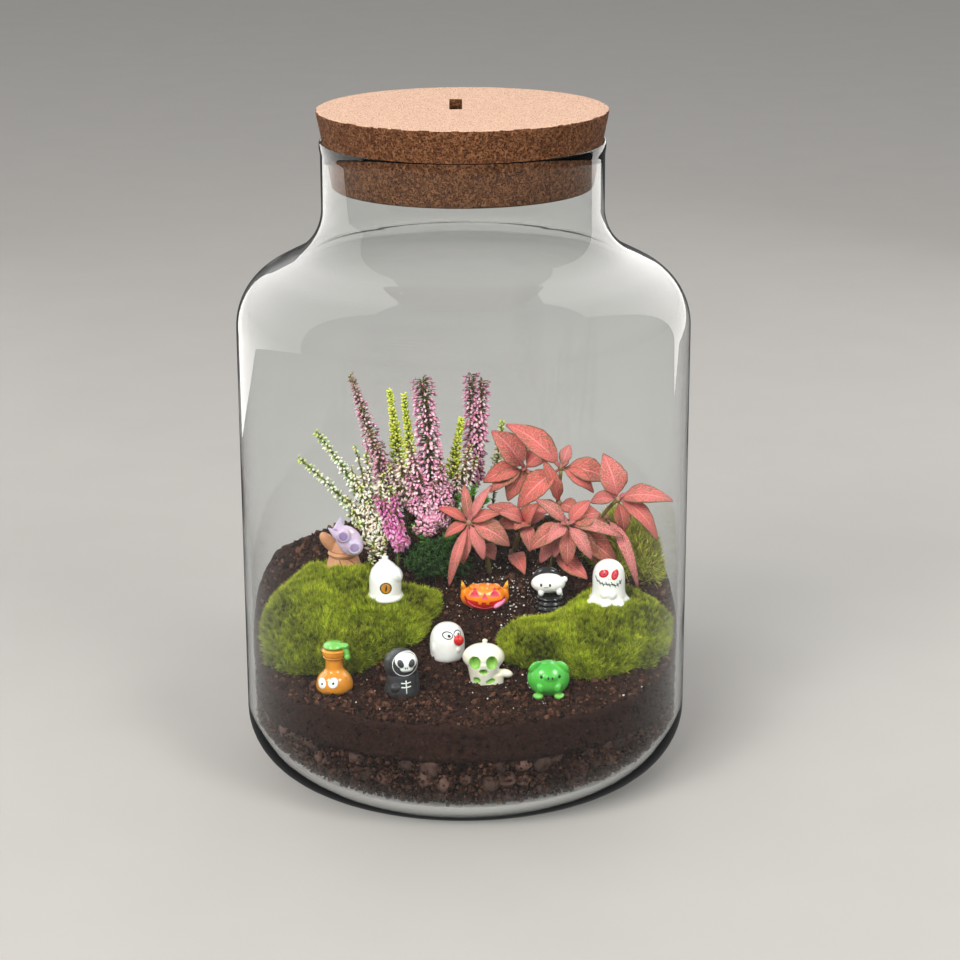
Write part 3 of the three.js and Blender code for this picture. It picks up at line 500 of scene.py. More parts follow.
@dataclass
class Gathering:
    """Shapes in millimetres that are gathered into one piece, with a tint for each corner."""

    corners: list = field(default_factory=list)
    loops: list = field(default_factory=list)
    sizes: list = field(default_factory=list)
    tints: list = field(default_factory=list)
    chart: list = field(default_factory=list)
    faces: list = field(default_factory=list)
    count: int = 0

    def scatter(
        self,
        pattern: Pattern,
        places: np.ndarray,
        roots: np.ndarray,
        tips: np.ndarray | None = None,
        finish: int = 0,
    ) -> None:
        """Adds copies of a pattern.

        Args:
            pattern: The shape to repeat.
            places: One placing matrix for each copy.
            roots: The linear colour of each copy's root.
            tips: The linear colour of each copy's tip, or none for its root's.
            finish: The number of the finish that they wear.
        """
        copies, per = len(places), len(pattern.corners)
        spots = np.einsum("kij,nj->kni", places[:, :3, :3], pattern.corners) + places[:, None, :3, 3]
        share = pattern.share[None, :, None]
        tips = roots if tips is None else tips
        tint = roots[:, None, :] * (1 - share) + tips[:, None, :] * share
        steps = np.arange(copies)[:, None] * per + self.count
        self.corners.append(spots.reshape(-1, 3))
        self.tints.append(tint.reshape(-1, 3))
        self.loops.append((pattern.loops[None, :] + steps).ravel())
        self.sizes.append(np.tile(pattern.sizes, copies))
        chart = pattern.chart if pattern.chart is not None else np.zeros((len(pattern.loops), 2))
        self.chart.append(np.tile(chart, (copies, 1)))
        self.faces.append(np.tile(pattern.faces, copies) + finish)
        self.count += copies * per

    def add(self, shape: Shape, root: str = "#FFFFFF", tip: str | None = None, finish: int = 0) -> None:
        """Adds one shape and frees it.

        Args:
            shape: The shape.
            root: The colour of its lowest corner.
            tip: The colour of its highest corner, or none for the same colour.
            finish: The number of the finish that it wears.
        """
        colours = np.array([linear(root)[:3]]), np.array([linear(tip or root)[:3]])
        self.scatter(Pattern(shape), np.eye(4)[None], *colours, finish)

    def piece(
        self, name: str, slot: str, finishes: list[Finish], nodes: tuple[str, ...] = (), sharp: float = 180.0
    ) -> bpy.types.Object:
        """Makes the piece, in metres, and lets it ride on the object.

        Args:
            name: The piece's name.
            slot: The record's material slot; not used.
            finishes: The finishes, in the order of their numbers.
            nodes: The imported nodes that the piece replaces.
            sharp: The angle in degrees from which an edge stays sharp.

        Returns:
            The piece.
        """
        mesh = bpy.data.meshes.new(name)
        corners, loops = np.concatenate(self.corners) * MM, np.concatenate(self.loops)
        sizes, chart = np.concatenate(self.sizes), np.concatenate(self.chart)
        mesh.vertices.add(len(corners))
        mesh.vertices.foreach_set("co", corners.ravel())
        mesh.loops.add(len(loops))
        mesh.loops.foreach_set("vertex_index", loops)
        mesh.polygons.add(len(sizes))
        mesh.polygons.foreach_set("loop_start", np.concatenate([[0], np.cumsum(sizes)[:-1]]))
        mesh.polygons.foreach_set("material_index", np.concatenate(self.faces))
        mesh.update(calc_edges=True)
        tint = mesh.color_attributes.new("tint", "FLOAT_COLOR", "POINT")
        colours = np.concatenate([np.concatenate(self.tints), np.ones((len(corners), 1))], axis=1)
        tint.data.foreach_set("color", colours.ravel())
        if chart.any():
            mesh.uv_layers.new(name="leaf").uv.foreach_set("vector", chart.ravel())
        for finish in finishes:
            mesh.materials.append(finish.material())
        mesh.validate()
        if sharp < 180:
            mesh.set_sharp_from_angle(angle=math.radians(sharp))
        mesh.polygons.foreach_set("use_smooth", np.ones(len(mesh.polygons), bool))
        piece = stood(name, mesh)
        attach(piece, "root")
        if nodes:
            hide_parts(*nodes)
        mesh.calc_loop_triangles()
        LOG.info("%s: %d triangles", name, len(mesh.loop_triangles))
        return piece


def hexes(colours: Sequence[str], draws: Draws, count: int) -> np.ndarray:
    """Draws linear colours between the given ones.

    Args:
        colours: Hex colours, each as likely.
        draws: The seeded source.
        count: How many to draw.

    Returns:
        One row of red, green and blue for each.
    """
    given = np.array([linear(colour)[:3] for colour in colours])
    first, second = given[draws.integers(0, len(given), count)], given[draws.integers(0, len(given), count)]
    share = draws.random((count, 1)) * 0.5
    return first * (1 - share) + second * share


# ---------------- camera and studio


@dataclass
class Studio:
    """The camera at the photograph's place, a pale floor and soft lamps."""

    camera_at: Point = (0.0, -1079.14, 461.91)
    pitch: float = 17.047
    yaw: float = 0.3734
    roll: float = -0.195
    lens: float = 94.04
    floor: float = 14000.0

    def camera(self) -> None:
        """Stands the camera where the photograph was taken from."""
        data = bpy.data.cameras.new("camera")
        data.lens = self.lens
        data.sensor_width = 36.0
        camera = stood("camera", data)
        pitch, yaw, roll = (math.radians(angle) for angle in (self.pitch, self.yaw, self.roll))
        ahead = Vector((math.sin(yaw) * math.cos(pitch), math.cos(yaw) * math.cos(pitch), -math.sin(pitch)))
        level = Vector((math.cos(yaw), -math.sin(yaw), 0))
        upright = level.cross(ahead)
        right = math.cos(roll) * level + math.sin(roll) * upright
        up = math.cos(roll) * upright - math.sin(roll) * level
        facing = Matrix((right, up, -ahead)).transposed().to_4x4()
        camera.matrix_world = Matrix.Translation(Vector(self.camera_at) * MM) @ facing
        bpy.context.scene.camera = camera

    @staticmethod
    def lamp(
        name: str, at: Point, size: Flat, power: float, aim: Point = (0, 0, 140), roll: float = 0
    ) -> bpy.types.Object:
        """Hangs a soft box.

        Args:
            name: The lamp's name.
            at: Its place in millimetres.
            size: Its width and height in millimetres.
            power: Its power in watts.
            aim: The point that it faces.
            roll: Its turn about its own axis in degrees.

        Returns:
            The lamp.
        """
        data = bpy.data.lights.new(name, "AREA")
        data.shape = "RECTANGLE"
        data.size, data.size_y = size[0] * MM, size[1] * MM
        data.energy = power
        data.color = linear("#FFFCF8")[:3]
        lamp = stood(name, data)
        facing = (Vector(aim) - Vector(at)).to_track_quat("-Z", "Y").to_matrix().to_4x4()
        turned = facing @ Matrix.Rotation(math.radians(roll), 4, "Z")
        lamp.matrix_world = Matrix.Translation(Vector(at) * MM) @ turned
        return lamp

    def lay_floor(self) -> None:
        """Lays the pale floor just under the jar's foot."""
        floor = bmesh.new()
        bmesh.ops.create_grid(floor, x_segments=1, y_segments=1, size=self.floor / 2)
        bmesh.ops.translate(floor, vec=(0, 0, -0.3), verts=floor.verts)
        bmesh.ops.scale(floor, vec=(MM, MM, MM), verts=floor.verts)
        mesh = bpy.data.meshes.new("floor")
        floor.to_mesh(mesh)
        floor.free()
        finish = Tinted("painted studio floor", grain=60.0, depth=0.0, vary=0.015, roughness=0.7)
        mesh.materials.append(finish.material())
        tint = mesh.color_attributes.new("tint", "FLOAT_COLOR", "POINT")
        tint.data.foreach_set("color", linear("#A6A4A1") * len(mesh.vertices))
        sheet = stood("floor", mesh)
        sheet.visible_glossy = False  # as black flags would, this keeps the floor's shine off the glass

    def light_backdrop(self) -> None:
        """Gives the studio its walls' light: dim below the horizon, and rising above it."""
        world = bpy.data.worlds.new("studio")
        bpy.context.scene.world = world
        world.use_nodes = True
        tree = world.node_tree
        way = add_node(tree, "ShaderNodeTexCoord")["Generated"]
        height = add_node(tree, "ShaderNodeSeparateXYZ", {0: way})[2]
        span = {"From Min": 0.0, "From Max": 0.3, "To Min": 0.12, "To Max": 0.6, "Value": height}
        rise = add_node(tree, "ShaderNodeMapRange", span)[0]
        sky = tree.nodes["Background"]
        sky.inputs["Color"].default_value = linear("#E8E8E8")
        tree.links.new(rise, sky.inputs["Strength"])

    def set_up(self) -> None:
        """Builds the camera, the floor, the backdrop's light and the lamps."""
        self.camera()
        self.lay_floor()
        self.light_backdrop()
        panels = [self.lamp("left_panel", (-859, 687, 1295), (1600, 2660), 32, (-71, 71, 1295), 12.7)]
        panels += [self.lamp("right_panel", (683, 913, 1140), (1473, 2063), 24, (-105, 297, 1140), 21.8)]
        for panel in panels:  # they show only as reflections in the glass and the gloss
            panel.visible_diffuse = panel.visible_camera = panel.visible_transmission = False
        for lamp in (
            self.lamp("key_lamp", (-1800, -3000, 3260), (2200, 2200), 200),
            self.lamp("fill_lamp", (2400, -2600, 2860), (2200, 2200), 36),
        ):
            lamp.visible_glossy = lamp.visible_transmission = False
        bpy.context.scene.view_settings.view_transform = "Standard"

    def glints(self, glass: bpy.types.Object) -> None:
        """Hangs two small lamps whose glints show on the miniatures' gloss, but not in the glass.

        Args:
            glass: The jar's piece, which these lamps leave out.
        """
        spared = bpy.data.collections.new("spared")
        spared.objects.link(glass)
        for side, name in ((-1, "left_glint"), (1, "right_glint")):
            lamp = self.lamp(name, (side * 900, -900, 1150), (480, 480), 10)
            lamp.light_linking.receiver_collection = spared
        spared.collection_objects[0].light_linking.link_state = "EXCLUDE"


# ---------------- jar and cork


@dataclass
class GlassJar:
    """The blown jar: an even wall, a rounded foot and shoulder, a neck and a fire-rounded lip."""

    radius: float = 100.0
    wall: float = 2.8
    neck_wall: float = 2.2
    floor: float = 5.0
    floor_radius: float = 30.0
    foot_radius: float = 40.0
    waist: float = 110.0
    seat: float = 277.0
    clearance: float = 0.3
    foot_fillet: float = 27.0
    inner_fillet: float = 24.0
    shoulder_start: float = 204.0
    shoulder_radius: float = 29.25
    throat_radius: float = 23.7
    shoulder_angle: float = math.radians(63.3)
    neck_radius: float = 61.7
    neck_start: float = 256.0
    lip_radius: float = 62.15
    height: float = 285.0
    steps: int = 144

    def skin(self) -> list[tuple[float, float, float, float]]:
        """Returns the outer skin from the foot up: radius, height and the way that it faces."""
        fillet, reach, throat = self.foot_fillet, self.shoulder_radius, self.throat_radius
        skin = [(self.radius - fillet * (1 - s), fillet * (1 - c), s, -c) for s, c in arc(12, math.pi / 2)]
        skin += [(self.radius, self.waist, 1.0, 0.0)]
        shoulder, neck = arc(14, self.shoulder_angle), arc(12, self.shoulder_angle)[::-1]
        skin += [(self.radius - reach * (1 - c), self.shoulder_start + reach * s, c, s) for s, c in shoulder]
        skin += [(self.neck_radius + throat * (1 - c), self.neck_start - throat * s, c, s) for s, c in neck]
        return skin

    def profile(self, cork: "CorkStopper") -> list[Flat]:
        """Returns the whole section of the wall.

        Args:
            cork: The stopper whose taper the lip follows.

        Returns:
            Pairs of radius and height, up the outside and down the inside.
        """
        skin = self.skin()
        outside = [(0.0, 0.0), (self.foot_radius, 0.0)] + [(r, z) for r, z, _, _ in skin]
        outside += [(self.neck_radius, 279.0), (61.85, 280.5), (self.lip_radius, 282.0)]
        outside += [(self.lip_radius, 284.2), (62.05, 284.7), (61.8, 285.0), (61.5, 285.0)]
        lip = self.height - 0.3
        inside = [(cork.radius_at(z) + self.clearance, z) for z in (lip, self.seat)]
        for radius, height, nr, nz in reversed(skin):
            if height < self.shoulder_start:
                continue
            share = (height - self.shoulder_start) / (self.neck_start - self.shoulder_start)
            wall = self.wall + (self.neck_wall - self.wall) * share
            inside.append((radius - wall * nr, height - wall * nz))
        inner, fillet = self.radius - self.wall, self.inner_fillet
        inside.append((inner, self.waist))
        quarter = arc(12, math.pi / 2)[::-1]
        inside += [(inner - fillet * (1 - s), self.floor + fillet * (1 - c)) for s, c in quarter]
        return outside + inside + [(self.floor_radius, self.floor), (0.0, self.floor)]

    def make(self, cork: "CorkStopper") -> bpy.types.Object:
        """Blows the jar round the stopper and returns its piece."""
        jar = Gathering()
        jar.add(spun(self.profile(cork), self.steps))
        glass = [BlownGlass("blown soda-lime glass")]
        return jar.piece("blown_jar", "jar_glass", glass, ("jar_glass",), sharp=50.0)


@dataclass
class CorkStopper:
    """The tapered stopper of pressed cork granules, with a slot cut into its top."""

    top_radius: float = 63.4
    bottom_radius: float = 57.0
    top: float = 298.6
    bottom: float = 265.5
    slot_width: float = 5.6
    slot_length: float = 30.0
    slot_depth: float = 20.0
    slot_at: Flat = (-2.9, 11.0)
    steps: int = 260

    def radius_at(self, height: float) -> float:
        """Returns the stopper's radius at a height."""
        share = (height - self.bottom) / (self.top - self.bottom)
        return self.bottom_radius + (self.top_radius - self.bottom_radius) * share

    def make(self) -> None:
        """Turns the stopper, roughens its edges and sides, and cuts its slot."""
        cork = self.turned()
        self.cut_slot(cork)
        for face in cork.faces:
            face.material_index = int(self.on_top(face))
        stopper = Gathering()
        stopper.add(cork)
        # The side's browns are darker and the top's paler than the cork's own colour: painted shade on the
        # side and painted light on the top, over the real difference between the sanded top and the cut side.
        browns = "#8B5F40", "#70492E", "#583723"
        cut = PressedCork("pressed cork, cut side, painted shade", *browns, 1.3, pits=0.85, depth=0.8)
        browns = "#CDAA93", "#C7A48D", "#BC9984"
        lit_top_cork = PressedCork("pressed cork, sanded top, painted light", *browns, 1.2, pits=0.22, depth=0.2)
        stopper.piece("cork_lid", "cork", [cut, lit_top_cork], ("cork_stopper",), sharp=50.0)

    def on_top(self, face: bmesh.types.BMFace) -> bool:
        """Tells whether a face is part of the stopper's flat top."""
        return face.normal.z > 0.9 and face.calc_center_median().z > self.top - 1

    def turned(self) -> Shape:
        """Returns the stopper without its slot, pitted all round but for the middle of its ends."""
        rows = 24
        side = [self.bottom + 0.6 + (self.top - self.bottom - 1.2) * i / rows for i in range(rows + 1)]
        profile = [(0.0, self.bottom), (self.bottom_radius - 0.6, self.bottom)]
        profile += [(self.radius_at(z), z) for z in side]
        profile += [(self.top_radius - 0.25, self.top - 0.2), (self.top_radius - 0.7, self.top)]
        profile += [(self.top_radius * share, self.top) for share in (0.96, 0.85, 0.7, 0.55, 0.4, 0.2, 0.0)]
        cork = spun(profile, self.steps)
        for corner in cork.verts:
            reach = corner.co.xy.length
            if reach < 50 or corner.co.z < self.bottom + 0.3:
                continue
            pit = max(0.0, noise.noise(corner.co * 0.9) - 0.12) + max(0.0, noise.noise(corner.co * 0.4) - 0.3)
            inset = 1 - min(1.1 * pit, 0.8) / reach
            corner.co.x *= inset
            corner.co.y *= inset
        return cork

    def cut_slot(self, cork: Shape) -> None:
        """Cuts the slot into the top."""
        x, y = self.slot_at
        low = (x - self.slot_width / 2, y - self.slot_length / 2)
        high = (x + self.slot_width / 2, y + self.slot_length / 2)
        cuts = [((low[0], 0, 0), (1, 0, 0)), ((high[0], 0, 0), (1, 0, 0))]
        cuts += [((0, low[1], 0), (0, 1, 0)), ((0, high[1], 0), (0, 1, 0))]
        for at, way in cuts:
            lid = [f for f in cork.faces if f.normal.z > 0.9]
            edges = {e for f in lid for e in f.edges}
            corners = {v for f in lid for v in f.verts}
            bmesh.ops.bisect_plane(cork, geom=[*lid, *edges, *corners], plane_co=at, plane_no=way, dist=1e-4)
        mouth = []
        for face in cork.faces:
            centre = face.calc_center_median()
            if low[0] < centre.x < high[0] and low[1] < centre.y < high[1] and self.on_top(face):
                mouth.append(face)
        sunk = bmesh.ops.extrude_face_region(cork, geom=mouth)["geom"]
        bmesh.ops.delete(cork, geom=mouth, context="FACES_ONLY")
        floor = [part for part in sunk if isinstance(part, bmesh.types.BMVert)]
        bmesh.ops.translate(cork, vec=(0, 0, -self.slot_depth), verts=floor)
        bmesh.ops.recalc_face_normals(cork, faces=cork.faces)


# ---------------- ground


def ground(x: float, y: float) -> float:
    """Returns the height of the soil's top at a place, in millimetres."""
    t = min(max((y + 62) / 112, 0.0), 1.0)
    ripple = 0.7 * math.sin(x / 9 + 1) * math.cos(y / 10) + 0.4 * math.sin(x / 5) * math.sin(y / 6 + 2)
    dip = 4 * math.exp(-((x + 92) ** 2 + (y + 48) ** 2) / 600)
    return 52 + 34 * t * t * (3 - 2 * t) + ripple - dip


def grounds(x: np.ndarray, y: np.ndarray) -> np.ndarray:
    """Returns the height of the soil's top at each of several places."""
    return np.array([ground(a, b) for a, b in zip(x, y)])


SOIL_DARK = ["#21130F", "#2E1C16", "#3A241C", "#190F0C"]
SOIL_WARM = ["#452B22", "#573A2C", "#37221A", "#6A4838"]


def lump(rough: float, seed: float, finest: int = 1) -> Pattern:
    """Makes an uneven lump of unit size.

    Args:
        rough: How uneven it is.
        seed: What sets this lump apart from others.
        finest: How often its twenty faces are divided, less one.

    Returns:
        The lump, its centre at the origin.
    """
    shape = bmesh.new()
    bmesh.ops.create_icosphere(shape, subdivisions=finest, radius=0.5)
    for corner in shape.verts:
        corner.co *= 1 + rough * noise.noise(corner.co * 3 + Vector((seed, 0, seed)))
    return Pattern(shape)


@dataclass
class PebbleLayer:
    """The drainage layer: fired clay pebbles with soil that has trickled between them."""

    well_radius: float = 73.2
    well_centre: float = 29.0
    well_reach: float = 23.6
    spacing: float = 9.4
    crumbs: int = 9000

    def __post_init__(self) -> None:
        """Starts the layer and its draws."""
        self.draws = np.random.default_rng(7)
        self.layer = Gathering()

    def wall_at(self, height: float, inset: float) -> float:
        """Returns the radius of the glass's inner face at a height, less an inset."""
        reach = self.well_reach - inset
        below = max(self.well_centre - height, 0.0)
        return self.well_radius + math.sqrt(max(reach * reach - below * below, 0.0))

    def make(self) -> None:
        """Packs the pebbles against the glass, round a core of soil."""
        self.pack()
        self.fill()
        self.trickle()
        clay = Tinted("fired clay, dusty", grain=2.4, depth=0.25, vary=0.3, roughness=0.9)
        soil = Tinted("soil among the pebbles", grain=1.1, depth=0.5, vary=0.5, roughness=0.95, specular=0.08)
        self.layer.piece("drainage_pebbles", "clay_pebbles", [clay, soil], ("clay_pebbles",))

    def places(self) -> tuple[np.ndarray, np.ndarray]:
        """Returns the pebbles' middles and sizes, in four staggered levels."""
        draws = self.draws
        spots, sizes = [], []
        for level in range(4):
            height = 10.2 + 7.4 * level
            for row in range(-12, 13):
                for column in range(-12, 13):
                    x = self.spacing * (column + 0.5 * ((row + level) % 2)) + draws.uniform(-1.6, 1.6)
                    y = self.spacing * 0.87 * (row + 0.35 * level) + draws.uniform(-1.6, 1.6)
                    z = height + draws.uniform(-1.4, 1.4)
                    size = draws.uniform(7.4, 11.6)
                    limit = self.wall_at(z - 1.2, size / 2 + 0.4)
                    reach = math.hypot(x, y)
                    if reach > limit + 4 or (reach < limit - 11 and level > 0):
                        continue
                    scale = min(1.0, limit / max(reach, 1e-6))
                    spots.append((x * scale, y * scale, max(z, 5.4 + size / 2)))
                    sizes.append(size)
        return np.array(spots), np.array(sizes)

    def pack(self) -> None:
        """Packs the pebbles, of five forms."""
        draws = self.draws
        spots, sizes = self.places()
        for kind in range(5):
            chosen = np.arange(len(spots)) % 5 == kind
            count = int(chosen.sum())
            ways = draws.normal(size=(count, 3))
            flat = sizes[chosen, None] * np.array([[1.0, 0.92, 0.86]])
            places = towards(spots[chosen], ways, flat, draws.random(count) * math.tau)
            tints = hexes(["#4E3832", "#5A433B", "#3F2D28", "#6A4E45", "#33241F"], draws, count)
            self.layer.scatter(lump(0.3, kind * 3.1, 3 if kind < 1 else 2), places, tints)

    def fill(self) -> None:
        """Fills the middle with soil."""
        core = [(0.0, 6.4), (60.0, 6.4)]
        core += [(self.wall_at(z, 4.6), z) for z in (9.0, 12.0, 16.0, 21.0, 27.0, 34.2)] + [(0.0, 34.2)]
        fill = spun(core, 120)
        for corner in fill.verts:
            stir = 1 + 0.02 * noise.noise(corner.co * 0.22)
            corner.co.x *= stir
            corner.co.y *= stir
        self.layer.add(fill, "#2A1914", finish=1)

    def trickle(self) -> None:
        """Sets soil crumbs between the pebbles and the glass."""
        draws, count = self.draws, self.crumbs
        heights = draws.uniform(8.0, 34.0, count)
        angles = draws.random(count) * math.tau
        reach = np.array([self.wall_at(z, draws.uniform(1.0, 4.6)) for z in heights])
        spots = np.stack([reach * np.cos(angles), reach * np.sin(angles), heights], axis=1)
        size = draws.uniform(0.8, 2.2, (count, 1)) * draws.uniform(0.7, 1.1, (count, 3))
        places = towards(spots, draws.normal(size=(count, 3)), size, angles)
        tints = hexes(SOIL_DARK + SOIL_WARM[:2], draws, count)
        self.layer.scatter(lump(0.5, 2.0), places, tints, finish=1)


@dataclass
class SoilBed:
    """The dark crumbly potting soil, sloping up to the back, with white perlite in its valley."""

    radius: float = 96.9
    bottom: float = 34.3
    steps: int = 260
    crumbs: int = 15000
    pressed: int = 9000
    perlite: int = 460

    def __post_init__(self) -> None:
        """Starts the bed and its draws."""
        self.draws = np.random.default_rng(19)
        self.soil = Gathering()

    def make(self) -> None:
        """Shapes the bed and strews crumbs and perlite over it."""
        rings = [self.radius * (i / 64) ** 0.8 for i in range(65)]
        profile = [(r, 60.0) for r in rings]
        profile += [(self.radius, 60.0 - 4 * i) for i in range(1, 7)] + [(0.0, self.bottom)]
        bed = spun(profile, self.steps)
        for corner in bed.verts:
            x, y, z = corner.co
            reach = math.hypot(x, y)
            if reach > self.radius - 0.01 and z < 59.9:
                share = (z - 36.0) / 24.0
                corner.co.z = self.bottom + 0.5 + (ground(x, y) - self.bottom - 2) * share
                stir = 1 - 0.012 * (1 + noise.noise(corner.co * 0.35))
                corner.co.x, corner.co.y = x * stir, y * stir
            elif z > 59.9:
                fine = noise.fractal(corner.co * 0.17, 1.0, 2.0, 4) * 1.3
                corner.co.z = ground(x, y) + fine - 0.4
        self.soil.add(bed, "#2B1A15")
        self.strew_crumbs()
        self.strew_perlite()
        self.dress_wall()
        finish = Tinted("peat potting soil", grain=1.3, depth=0.7, vary=0.55, roughness=0.95, specular=0.08)
        white = Tinted("perlite", grain=0.8, depth=0.2, vary=0.12, roughness=0.8)
        self.soil.piece("potting_soil", "soil", [finish, white], ("soil",))

    def strew_crumbs(self) -> None:
        """Strews crumbs, of three forms, over the top."""
        draws, count = self.draws, self.crumbs
        reach = self.radius * 0.985 * np.sqrt(draws.random(count))
        turn = draws.random(count) * math.tau
        x, y = reach * np.cos(turn), reach * np.sin(turn)
        z = grounds(x, y) + draws.uniform(-0.5, 0.7, count)
        size = draws.gamma(1.8, 0.6, (count, 1)).clip(0.4, 4.2) * draws.uniform(0.6, 1.2, (count, 3))
        spots = np.stack([x, y, z], axis=1)
        tints = hexes(SOIL_DARK + SOIL_WARM, draws, count)
        for kind in range(3):
            chosen = np.arange(count) % 3 == kind
            ways = draws.normal(size=(int(chosen.sum()), 3))
            places = towards(spots[chosen], ways, size[chosen], turn[chosen])
            self.soil.scatter(lump(0.7, kind + 0.4), places, tints[chosen])

    def strew_perlite(self) -> None:
        """Strews white grains, most of them in the valley."""
        draws, count = self.draws, self.perlite
        x = np.where(draws.random(count) < 0.7, draws.normal(20, 13, count), draws.uniform(-80, 85, count))
        y = np.where(draws.random(count) < 0.7, draws.normal(8, 13, count), draws.uniform(-80, 40, count))
        kept = np.hypot(x, y) < self.radius - 2
        x, y = x[kept], y[kept]
        z = grounds(x, y) + 0.7
        size = draws.gamma(3.0, 0.16, (len(x), 1)).clip(0.25, 1.1) * draws.uniform(0.7, 1.1, (len(x), 3))
        places = towards(np.stack([x, y, z], axis=1), draws.normal(size=(len(x), 3)), size, x)
        tints = hexes(["#F2EEE8", "#D9D2C8", "#BDB3A8"], draws, len(x))
        self.soil.scatter(lump(0.6, 5.0), places, tints, finish=1)

    def dress_wall(self) -> None:
        """Presses crumbs against the glass."""
        draws, count = self.draws, self.pressed
        turn = draws.random(count) * math.tau
        reach = self.radius - draws.uniform(0.9, 2.6, count)
        x, y = reach * np.cos(turn), reach * np.sin(turn)
        z = self.bottom + (grounds(x, y) - self.bottom) * draws.random(count)
        size = draws.gamma(3.0, 0.4, (count, 1)).clip(0.5, 2.6) * draws.uniform(0.6, 1.1, (count, 3))
        size = np.minimum(size, 1.8 * (self.radius + 0.1 - reach)[:, None])
        places = towards(np.stack([x, y, z], axis=1), draws.normal(size=(count, 3)), size, turn)
        tints = hexes(SOIL_DARK + SOIL_WARM[:3], draws, count) * 0.5  # half as bright against the glass: painted shade
        self.soil.scatter(lump(0.7, 1.4), places, tints)


# ---------------- moss


class MossKind(Enum):
    """How a cushion grows: root and tip colours, blade length, width and lean."""

    VELVET = ["#394C08", "#4B600B", "#304108"], ["#96A81C", "#B8BE2A", "#7A9418", "#CAC844"], 2.7, 0.38, 0.36
    STRINGY = ["#4A5C12", "#60701A", "#6A5A22"], ["#B4C23C", "#D2CC58", "#96AC2C", "#C9BE50"], 6.4, 0.42, 0.9


